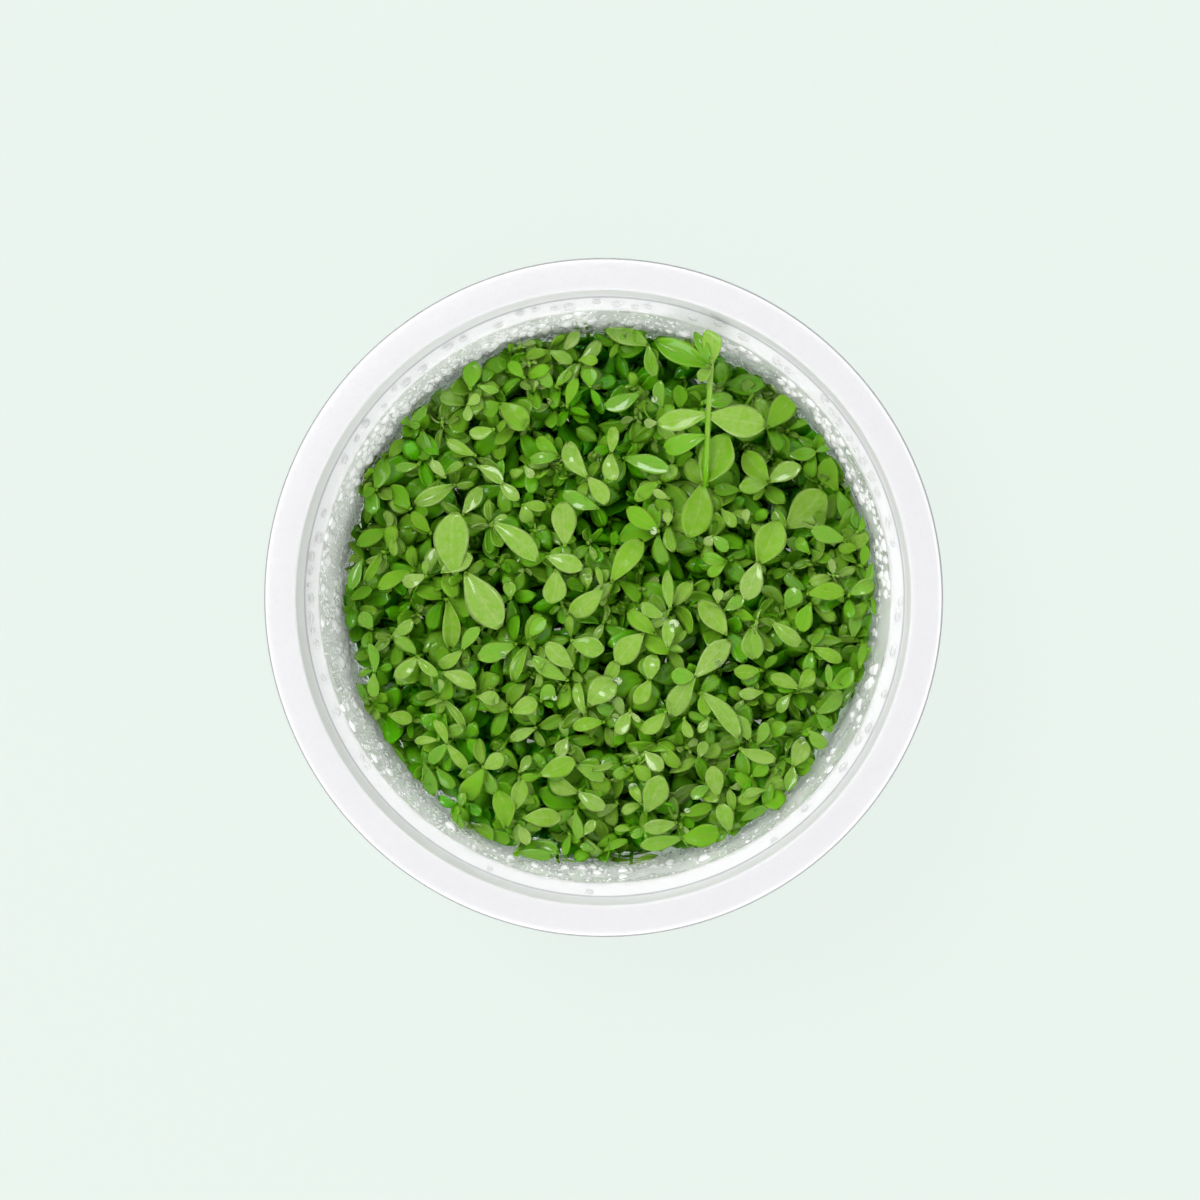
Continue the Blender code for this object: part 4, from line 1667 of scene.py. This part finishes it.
    def add_seen_leaf(self, shoot: Shoot, seen: SeenLeaf) -> None:
        """Grow a leaf that stands out from the tip of its stem to the place of its own tip.

        Args:
            shoot: Shoot that it grows on.
            seen: The leaf in the photograph.
        """
        rng = self.rng
        habit = self.seen_habit
        node = shoot.controls[-1]
        rise = rng.normal(habit.rise, habit.rise_spread) * seen.length * self.view.pixel
        tip = self.view.point(seen.tip_x, seen.tip_y, min(node.z + rise, self.seen_limit))
        ahead = np.array(tip - node)
        length = float(np.linalg.norm(ahead))
        roll = np.cross(ahead, UP) * rng.normal(0.0, habit.roll_spread) / length
        width = LeafModel.width_share(seen)
        shoot.leaves.append(Leaf(np.array(node), ahead, UP + roll, length, width, seen.form, seen.tone,
                                 self.wetness(), seen.shade, rng.normal(0.0, habit.bend_spread),
                                 rng.normal(0.0, habit.twist_spread), Detail.FINE))

    def grow(self, foot: Vector, top: float | None = None) -> Shoot:
        """Grow one shoot on its foot.

        Args:
            foot: Point on the gel.
            top: Height of its tip, if it isn't the common one there.

        Returns:
            The shoot, with its leaves.
        """
        rng = self.rng
        share = foot.xy.length / self.reach
        if top is None:
            top = self.top_middle + (self.edge_height(foot) - self.top_middle) * share ** 2
            top += rng.normal(0.0, self.top_spread)
        lean = level_sway(rng, self.lean_spread)
        outward = Vector((foot.x, foot.y, 0.0)) / self.reach * self.edge_lean * share ** 3
        tip = Vector((foot.x, foot.y, top)) + lean + outward
        middle = foot.lerp(tip, 0.5) - lean * self.bow_back + level_sway(rng, self.bow_spread)
        shoot = Shoot([foot, middle, tip], self.stem_base, self.stem_tip)
        pairs = len(self.habit.depths) if share > self.edge_share else self.habit.inner_pairs
        self.add_pairs(shoot, tip.z - foot.z, pairs)
        return shoot

    def add_pairs(self, shoot: Shoot, length: float, pairs: int, first: int = 0) -> None:
        """Give a shoot its pairs of leaves, each turned a quarter against the next.

        Args:
            shoot: Shoot that they grow on.
            length: Its length.
            pairs: How many pairs it gets at most.
            first: Number of the first pair that it gets, from the tip down.
        """
        rng = self.rng
        habit = self.habit
        start = rng.uniform(0.0, math.tau)
        size = min(rng.lognormal(*habit.shoot_size), habit.biggest)
        vigour = rng.normal(0.0, habit.vigour_spread)
        for index in range(first, pairs):
            depth = habit.depths[index] * MM * rng.uniform(*habit.depth_range)
            place = 1.0 - depth / length
            if place < habit.lowest_place:
                break
            node, beyond = curve_points(shoot.controls, np.array([place, place + shoot.further]))
            turn = start + index * math.pi / 2.0 + rng.normal(0.0, habit.turn_spread)
            for side in (0.0, math.pi):
                self.add_leaf(shoot, node, unit(beyond - node), turn + side, index, size, vigour)

    def add_leaf(self, shoot: Shoot, node: Array, ahead: Array, turn: float, index: int, size: float,
                 vigour: float) -> None:
        """Grow one leaf of a pair.

        Args:
            shoot: Shoot that it grows on.
            node: Point of the stem.
            ahead: Direction of the stem there.
            turn: Direction of the leaf round the stem.
            index: Number of the pair from the tip down.
            size: Size of this shoot's leaves against the common one.
            vigour: Paleness of this shoot's leaves against the common one.
        """
        rng = self.rng
        habit = self.habit
        level = level_direction(turn)
        outward = unit(level - ahead * level.dot(ahead))
        rise = math.radians(habit.rises[index] + rng.normal(0.0, habit.rise_spread))
        direction = outward * math.cos(rise) + ahead * math.sin(rise)
        face = ahead * math.cos(rise) - outward * math.sin(rise)
        sideways = np.cross(direction, face)
        face = unit(face + sideways * rng.normal(0.0, habit.roll_spread))
        direction = unit(direction + sideways * rng.normal(0.0, habit.skew_spread))
        length = habit.lengths[index] * MM * size * rng.lognormal(0.0, habit.length_spread)
        room = self.layer_height(Vector(node)) - node[2]
        climb = (room - self.filler_drop) / length
        if direction[2] > climb:
            direction = unit(np.array((direction[0], direction[1], max(climb, habit.steepest_fall))))
        direction = self.turn_up(node, direction, length)
        young = index < habit.young_pairs
        form = LeafForm.YOUNG
        if not young:
            form = rng.choice(list(LeafForm)[:len(habit.form_chances)], p=habit.form_chances)
        # Partly painted shade: the tone falls with the depth below the top layer.
        tone = habit.top_tone - habit.tone_fall * room / MM + vigour + rng.normal(0.0, habit.tone_spread)
        # Young leaves are lifted paler: partly their own pale green, partly a painted sheen.
        tone = min(tone, habit.palest) + habit.young_and_sheen_lift * young
        detail = Detail.PLAIN if room / MM > self.plain_depth else Detail.COMMON
        wet = habit.wet if young else self.wetness()
        shoot.leaves.append(Leaf(node + outward * self.stem_tip, direction, face, length,
                                 rng.uniform(*habit.width_range), form, tone, wet,
                                 rng.uniform(*habit.shade_range), rng.normal(0.0, habit.bend_spread),
                                 rng.normal(0.0, habit.twist_spread), detail))

    def turn_up(self, node: Array, direction: Array, length: float) -> Array:
        """Turn a leaf that would pass the wall up along it.

        Args:
            node: Its root.
            direction: Direction to its tip.
            length: Its length.

        Returns:
            The direction that keeps its tip inside the wall.
        """
        limit = self.cup.wall_radius(node[2]) - self.wall_margin - self.rng.uniform(0.0, self.wall_play)
        tip = (node + direction * length)[:2]
        reach = np.hypot(*tip)
        if reach <= limit:
            return direction
        level = (tip * limit / reach - node[:2]) / length
        flat = min(float(np.hypot(*level)), 1.0)
        return unit(np.array((*level, max(math.sqrt(1.0 - flat ** 2), self.habit.least_climb))))

    def press_to_wall(self, points: Array) -> Array:
        """Press what would pass the cup's wall against its inside.

        Args:
            points: Points of the foliage.

        Returns:
            The points, all of them inside the wall.
        """
        radius = np.hypot(points[:, 0], points[:, 1])
        start = self.cup.wall_radius(points[:, 2]) - self.wall_margin - self.press
        past = np.maximum(radius - start, 0.0)
        pressed = start + self.press * (1.0 - np.exp(-past / self.press))
        share = np.where(radius > start, pressed / np.maximum(radius, TINY), 1.0)
        result = points.copy()
        result[:, :2] *= share[:, None]
        return result

    def lay(self, shoot: Shoot, mesh: JoinedMesh) -> None:
        """Add a shoot's stem and leaves to a mesh.

        Args:
            shoot: Shoot to add.
            mesh: Mesh that it goes into.
        """
        shoot.lay_stem(self.stem, mesh)
        for leaf in shoot.leaves:
            leaf.lay(self.patterns[leaf.form, leaf.detail], mesh)
            if leaf.detail is Detail.FINE:
                mesh.points[-1] = self.press_to_wall(mesh.points[-1])
                self.seen_points.append(mesh.points[-1])

    def grow_sprig(self) -> JoinedMesh:
        """Grow the long sprig that leans over the others, along the stem of its solid.

        Returns:
            The mesh of the sprig.
        """
        sprig = LeaningSprig()
        controls = [Vector(control) for control in sprig.stem]
        shoot = Shoot(controls, sprig.base_radius, sprig.tip_radius, end=sprig.end, tone=sprig.tone)
        for place, tip_height, seen in sprig.leaves:
            node = curve_points(shoot.controls, np.array([place]))[0]
            ahead = np.array(self.view.point(seen.tip_x, seen.tip_y, tip_height)) - node
            shoot.leaves.append(Leaf(node, ahead, UP + ahead * sprig.roll, float(np.linalg.norm(ahead)),
                                     LeafModel.width_share(seen), seen.form, seen.tone, sprig.wet, seen.shade,
                                     0.0, sprig.twist, Detail.FINE))
        mesh = JoinedMesh()
        self.lay(shoot, mesh)
        return mesh

    def build(self) -> None:
        """Grow every shoot and put each tuft in place of its plantlet's solid."""
        skin = LeafSkin().material()
        shoots = self.seen_shoots()
        taken = [shoot.controls[0].xy for shoot in shoots]
        for foot in self.feet(self.spacing):
            if min((foot.xy - other).length for other in taken) > self.clearing:
                shoots.append(self.grow(foot))
        for foot in self.feet(self.carpet_spacing):
            shoots.append(self.grow(foot, self.carpet_top + self.rng.normal(0.0, self.carpet_spread)))
        for shoot in shoots:
            self.lay(shoot, self.meshes[self.home_of(shoot.controls[0])])
        for name, mesh in self.meshes.items():
            mesh.points = [self.press_to_wall(points) for points in mesh.points]
            hand_over(mesh.build(f"{name}_tuft"), skin, Slot.LEAF, name)
        hand_over(self.grow_sprig().build("leaning_sprig_shoot"), skin, Slot.LEAF, "leaning_sprig")

    def surface_at(self, x: float, y: float) -> Array:
        """Find the point of the top layer of leaves that a pixel of the photograph shows.

        Args:
            x: Pixels from the photograph's left edge.
            y: Pixels from its top edge.

        Returns:
            The point on the pixel's line of sight where a leaf is near it, and else the leaf's nearest point.
        """
        points = np.concatenate(self.seen_points)
        eye = np.array(self.view.station)
        sight = unit(np.array(self.view.point(x, y, self.seen_middle)) - eye)
        gaps = np.linalg.norm(np.cross(points - eye, sight), axis=1)
        nearest = np.argsort(gaps)[:self.sight_points]
        top = nearest[np.argmax(points[nearest, 2])]
        beside = nearest[points[nearest, 2] > points[top, 2] - self.sight_width]
        if gaps[beside].min() > self.sight_width:
            return points[top]
        share = 1.0 / (gaps[beside] + self.least_gap)
        return np.array(self.view.point(x, y, float(share @ points[beside, 2] / share.sum())))


@dataclass
class Roots:
    """Fine pale roots that run down through the gel from its top.

    Their starts are spread evenly over a range of its area, from the middle out. Each root sways twice: at a
    share of its way, by a normal draw of a spread.
    """

    cup: CultureCup
    gel: GelDisc
    stem: Pattern
    count: int = 110
    seed: int = 5
    reach: float = 35.5 * MM
    foot_depth: float = 0.4 * MM
    area_range: Pair = (0.05, 1.0)
    spread: float = 3.0 * MM
    sways: tuple[Pair, ...] = ((0.35, 2.0 * MM), (0.7, 1.5 * MM))
    deepest: float = 3.4 * MM
    shallowest: float = 8.5 * MM
    base_radius: float = 0.15 * MM
    tip_radius: float = 0.06 * MM

    def build(self) -> None:
        """Lay each root as a bent thread."""
        rng = np.random.default_rng(self.seed)
        mesh = JoinedMesh()
        for _ in range(self.count):
            angle = rng.uniform(0.0, math.tau)
            radius = self.reach * math.sqrt(rng.uniform(*self.area_range))
            start = Vector(level_direction(angle) * radius + UP * (self.gel.top - self.foot_depth))
            end = start + level_sway(rng, self.spread)
            end *= min(1.0, self.reach / end.xy.length)
            end.z = rng.uniform(self.deepest, self.shallowest)
            bends = [start.lerp(end, place) + level_sway(rng, spread) for place, spread in self.sways]
            Shoot([start, *bends, end], self.base_radius, self.tip_radius).lay_stem(self.stem, mesh)
        hand_over(mesh.build("roots"), RootSkin().material(), None)


@dataclass(frozen=True)
class DropBand:
    """A band of the cup's inside that carries drops: how many are tried, where, how big and how close.

    The band runs from low to high, by height on the wall and by radius on the shoulder. The drops are
    thickest on one side of the cup, and the focus tells how fast they thin out away from it. Where the band
    has patches, they stand in those.
    """

    count: int
    low: float
    high: float
    smallest: float
    largest: float
    side: float
    focus: float = 1.0
    gap: float = 1.03
    patches: int = 0


@dataclass(frozen=True)
class DropModel:
    """A drop of unit radius on a plane: a sphere cut below its middle, and flattened."""

    segments: int
    rings: int
    cut: float = -0.05
    flatness: float = 0.72

    def build(self) -> Pattern:
        """Model the drop along +Z.

        Returns:
            The pattern.
        """
        rest_selection()
        bpy.ops.mesh.primitive_uv_sphere_add(segments=self.segments, ring_count=self.rings, radius=1.0)
        item = bpy.context.object
        select_points(item, lambda point: True)
        with editing(item):
            bpy.ops.mesh.bisect(plane_co=(0.0, 0.0, self.cut), plane_no=UP, use_fill=True, clear_inner=True)
            bpy.ops.mesh.select_all(action="SELECT")
            bpy.ops.transform.resize(value=(1.0, 1.0, self.flatness), center_override=(0.0, 0.0, 0.0))
            bpy.ops.mesh.normals_make_consistent(inside=False)
        return Pattern.read(item)


@dataclass
class Condensation:
    """Water drops on the inside of the cup and on the leaves.

    Beads are thick on the side of the cup that is at the top of the photograph, and mist on the other one.
    Small drops are more common than large ones, by a power. No side is without drops: the fewest are a share
    of those that are tried. A drop is stretched by an even draw, and sunk a little into what carries it.
    """

    cup: CultureCup
    view: PhotoView
    seed: int = 21
    beads: DropBand = DropBand(5200, 27.0 * MM, 44.6 * MM, 0.36 * MM, 1.00 * MM, math.radians(110.0), 1.3,
                               patches=140)
    mist: DropBand = DropBand(13000, 20.0 * MM, 44.6 * MM, 0.14 * MM, 0.36 * MM, math.radians(170.0), 1.1)
    ledge: DropBand = DropBand(240, 43.35 * MM, 44.05 * MM, 0.46 * MM, 0.74 * MM, math.radians(100.0),
                               gap=1.5)
    ledge_stretch: float = 1.35
    size_power: float = 0.45
    fewest: float = 0.03
    patch_radius: float = 2.5 * MM
    stretch_range: Pair = (0.88, 1.14)
    sink: float = 0.03 * MM
    closest: float = 0.01 * MM
    # Painted light: the drops on the cup are partly white instead of clear, for the bright light that they
    # refract; the green tint of the leaves' drops is a painted reflection of the leaves round them.
    wall_water: ClearWater = ClearWater("beaded_water", transmission=0.26, rim=0.02)
    shoulder_water: ClearWater = ClearWater("shoulder_water", transmission=0.50, rim=0.02)
    leaf_water: ClearWater = ClearWater("leaf_water", colour=(0.86, 0.97, 0.72))

    def __post_init__(self) -> None:
        """Model the drops that are copied."""
        self.rng = np.random.default_rng(self.seed)
        self.drop = DropModel(segments=10, rings=8).build()
        self.fine_drop = DropModel(segments=6, rings=4).build()

    def scatter(self, band: DropBand) -> list[Triple]:
        """Scatter drops that don't touch over a band.

        Args:
            band: Where they stand, how many and how big.

        Returns:
            Angle, place along the band, and radius of each drop.
        """
        rng = self.rng
        around = self.cup.wall_top_radius

        def gaps(turn: Array, rise: Array) -> Array:
            """Distances on the band for differences in angle and in place."""
            return np.hypot(((turn + math.pi) % math.tau - math.pi) * around, rise)

        angle = rng.uniform(0.0, math.tau, band.count)
        place = rng.uniform(band.low, band.high, band.count)
        spread = band.largest - band.smallest
        size = np.sort(band.smallest + spread * rng.power(self.size_power, band.count))[::-1]
        share = (0.5 + 0.5 * np.cos(angle - band.side)) ** band.focus
        wanted = rng.random(band.count) < self.fewest + (1.0 - self.fewest) * share
        if band.patches:
            turns = rng.uniform(0.0, math.tau, band.patches)
            rises = rng.uniform(band.low, band.high, band.patches)
            apart = gaps(angle[:, None] - turns, place[:, None] - rises)
            wanted &= apart.min(axis=1) < self.patch_radius
        kept: list[int] = []
        for index in np.flatnonzero(wanted):
            other = np.array(kept, int)
            room = (size[other] + size[index]) * band.gap
            if np.all(gaps(angle[other] - angle[index], place[other] - place[index]) > room):
                kept.append(index)
        return [(angle[index], place[index], size[index]) for index in kept]

    def lay_drop(self, mesh: JoinedMesh, drop: Pattern, middle: Array, normal: Array, radius: float,
                 turn: float = 0.0, stretch: float = 1.0) -> None:
        """Add one drop to a mesh. Its tone is its height above what carries it, in its radius.

        Args:
            mesh: Mesh that it goes into.
            drop: Modelled drop.
            middle: Point that it sits on.
            normal: Direction away from what carries it.
            radius: Radius of the drop.
            turn: Direction of the drop from the middle of the cup.
            stretch: How much longer it is round the cup than across.
        """
        first = level_direction(turn + math.pi / 2.0)
        second = np.cross(normal, first)
        stretch *= self.rng.uniform(*self.stretch_range)
        local = drop.points * radius
        placed = local[:, :1] * first * stretch + local[:, 1:2] * second / stretch + local[:, 2:] * normal
        mesh.add(drop, middle - normal * self.sink + placed, np.maximum(drop.points[:, 2], 0.0))

    def lay_on_wall(self, mesh: JoinedMesh, drop: Pattern, angle: float, height: float,
                    radius: float) -> None:
        """Add a drop to a mesh, on the wall of the cup.

        Args:
            mesh: Mesh that it goes into.
            drop: Modelled drop.
            angle: Direction of the drop from the middle of the cup.
            height: Its height.
            radius: Its radius.
        """
        cup = self.cup
        rise = cup.shoulder_base - cup.floor_top
        inward, up = unit(np.array((-rise, cup.wall_top_radius - cup.wall_base_radius)))
        around = level_direction(angle)
        middle = around * cup.wall_radius(height) + UP * height
        self.lay_drop(mesh, drop, middle, around * inward + UP * up, radius, angle)

    def seen_beads(self, mesh: JoinedMesh) -> None:
        """Lay the big drops of the wall, each where its line of sight meets the wall.

        Args:
            mesh: Mesh that they go into.
        """
        for x, y, width in SEEN_BEADS:
            low = self.cup.floor_top
            high = self.cup.shoulder_base
            while high - low > self.closest:
                height = (low + high) / 2.0
                if self.view.point(x, y, height).xy.length > self.cup.wall_radius(height):
                    low = height
                else:
                    high = height
            spot = self.view.point(x, y, high)
            self.lay_on_wall(mesh, self.drop, math.atan2(spot.y, spot.x), high, width / 2.0 * self.view.pixel)

    def wall(self) -> None:
        """Lay the beads and the mist on the wall."""
        water = self.wall_water.material()
        beads = JoinedMesh()
        self.seen_beads(beads)
        mist = JoinedMesh()
        for name, mesh, drop, band in (("wall_drops", beads, self.drop, self.beads),
                                       ("wall_mist", mist, self.fine_drop, self.mist)):
            for angle, height, size in self.scatter(band):
                self.lay_on_wall(mesh, drop, angle, height, size)
            hand_over(mesh.build(name), water, None)

    def shoulder(self) -> None:
        """Lay the row of long drops on the shoulder."""
        cup = self.cup
        slope = (cup.shoulder_top - cup.shoulder_base) / (cup.throat_base_radius - cup.wall_top_radius)
        outward, up = unit(np.array((-slope, 1.0)))
        mesh = JoinedMesh()
        for angle, radius, size in self.scatter(self.ledge):
            around = level_direction(angle)
            height = cup.shoulder_base + (radius - cup.wall_top_radius) * slope
            middle = around * radius + UP * height
            normal = around * outward + UP * up
            self.lay_drop(mesh, self.drop, middle, normal, size, angle, self.ledge_stretch)
        hand_over(mesh.build("shoulder_drops"), self.shoulder_water.material(), None)

    def leaves(self, foliage: Foliage) -> None:
        """Lay the drops that hang on leaves, where the photograph shows them.

        Args:
            foliage: Leaves that carry them.
        """
        mesh = JoinedMesh()
        for x, y, width in SEEN_DROPS:
            self.lay_drop(mesh, self.drop, foliage.surface_at(x, y), UP, width / 2.0 * self.view.pixel)
        hand_over(mesh.build("leaf_drops"), self.leaf_water.material(), None)


@dataclass(frozen=True)
class Studio:
    """Plain pale floor that glows a little, with soft light from above and from low lights round the cup.

    The low ones shine through the wall of the cup: fills from three sides, and strips near the floor.
    """

    floor_size: float = 3.0
    floor_level: float = -0.02 * MM
    floor_faces: int = 4
    floor_colour: Colour = (0.060, 0.066, 0.0625)
    floor_shade: float = 0.985
    floor_scale: float = 3.0
    floor_detail: float = 2.0
    glow_colour: Colour = (0.831, 0.914, 0.863)
    floor_glow: float = 0.890
    sky_strength: float = 0.75
    sky_colour: Colour = (1.0, 1.0, 1.0)
    key_power: float = 3.9
    key_size: float = 0.35
    key_place: Triple = (-0.32, 0.26, 1.00)
    fill_power: float = 3.3
    fill_size: float = 0.5
    fill_places: tuple[Triple, ...] = ((0.78, -0.46, 0.36), (-0.36, -0.82, 0.36),
                                                           (-0.30, 0.84, 0.36))
    side_count: int = 4
    side_power: float = 0.8
    side_size: float = 0.40
    side_rise: float = 0.05
    side_distance: float = 0.45
    side_height: float = 0.026

    def add_floor(self) -> None:
        """Lay the floor."""
        rest_selection()
        bpy.ops.mesh.primitive_grid_add(x_subdivisions=self.floor_faces, y_subdivisions=self.floor_faces,
                                        size=self.floor_size, location=(0.0, 0.0, self.floor_level))
        floor = bpy.context.object
        floor.name = "floor"
        place_in_mesh(floor)
        sheet = NodeSheet("pale_floor")
        darker = tuple(value * self.floor_shade for value in self.floor_colour)
        patches = sheet.noise(self.floor_scale, self.floor_detail)
        sheet.feed("Base Color", sheet.blend(patches, self.floor_colour, darker))
        sheet.fix(Roughness=0.9, Specular_IOR_Level=0.1, Emission_Color=(*self.glow_colour, 1.0),
                  Emission_Strength=self.floor_glow)
        floor.data.materials.append(sheet.material)

    def add_light(self, name: str, place: Triple, power: float, size: float,
                  rise: float | None = None) -> None:
        """Hang one soft light that faces the cup.

        Args:
            name: Name of the light.
            place: Point that it hangs at.
            power: Its power.
            size: Its width.
            rise: Its height, if it isn't a square.
        """
        data = bpy.data.lights.new(name, "AREA")
        data.shape = "RECTANGLE"
        data.energy = power
        data.size = size
        data.size_y = rise or size
        light = add_object(name, data)
        light.location = place
        light.rotation_euler = (-Vector(place)).to_track_quat("-Z", "Y").to_euler()

    def build(self) -> None:
        """Set the floor, the lights and the sky."""
        self.add_floor()
        self.add_light("key_light", self.key_place, self.key_power, self.key_size)
        for index, place in enumerate(self.fill_places):
            self.add_light(f"fill_light_{index + 1}", place, self.fill_power, self.fill_size)
        for index in range(self.side_count):
            turn = level_direction(math.tau * (index + 0.5) / self.side_count)
            place = tuple(turn * self.side_distance + UP * self.side_height)
            self.add_light(f"side_light_{index + 1}", place, self.side_power, self.side_size, self.side_rise)
        world = bpy.data.worlds.new("studio_sky")
        world.use_nodes = True
        background = world.node_tree.nodes["Background"]
        background.inputs["Color"].default_value = (*self.sky_colour, 1.0)
        background.inputs["Strength"].default_value = self.sky_strength
        bpy.context.scene.world = world
        bpy.context.scene.view_settings.view_transform = "Standard"


def main() -> None:
    """Build the studio, the cup, the gel, the foliage and the water, in that order."""
    logging.basicConfig(level=logging.INFO, format="%(message)s")
    view = PhotoView()
    Studio().build()
    view.add_camera()
    cup = CultureCup()
    cup.build()
    gel = GelDisc(cup)
    gel.build()
    foliage = Foliage(cup, gel, view)
    foliage.build()
    Roots(cup, gel, foliage.stem).build()
    water = Condensation(cup, view)
    water.wall()
    water.shoulder()
    water.leaves(foliage)


if __name__ == "__main__":
    main()
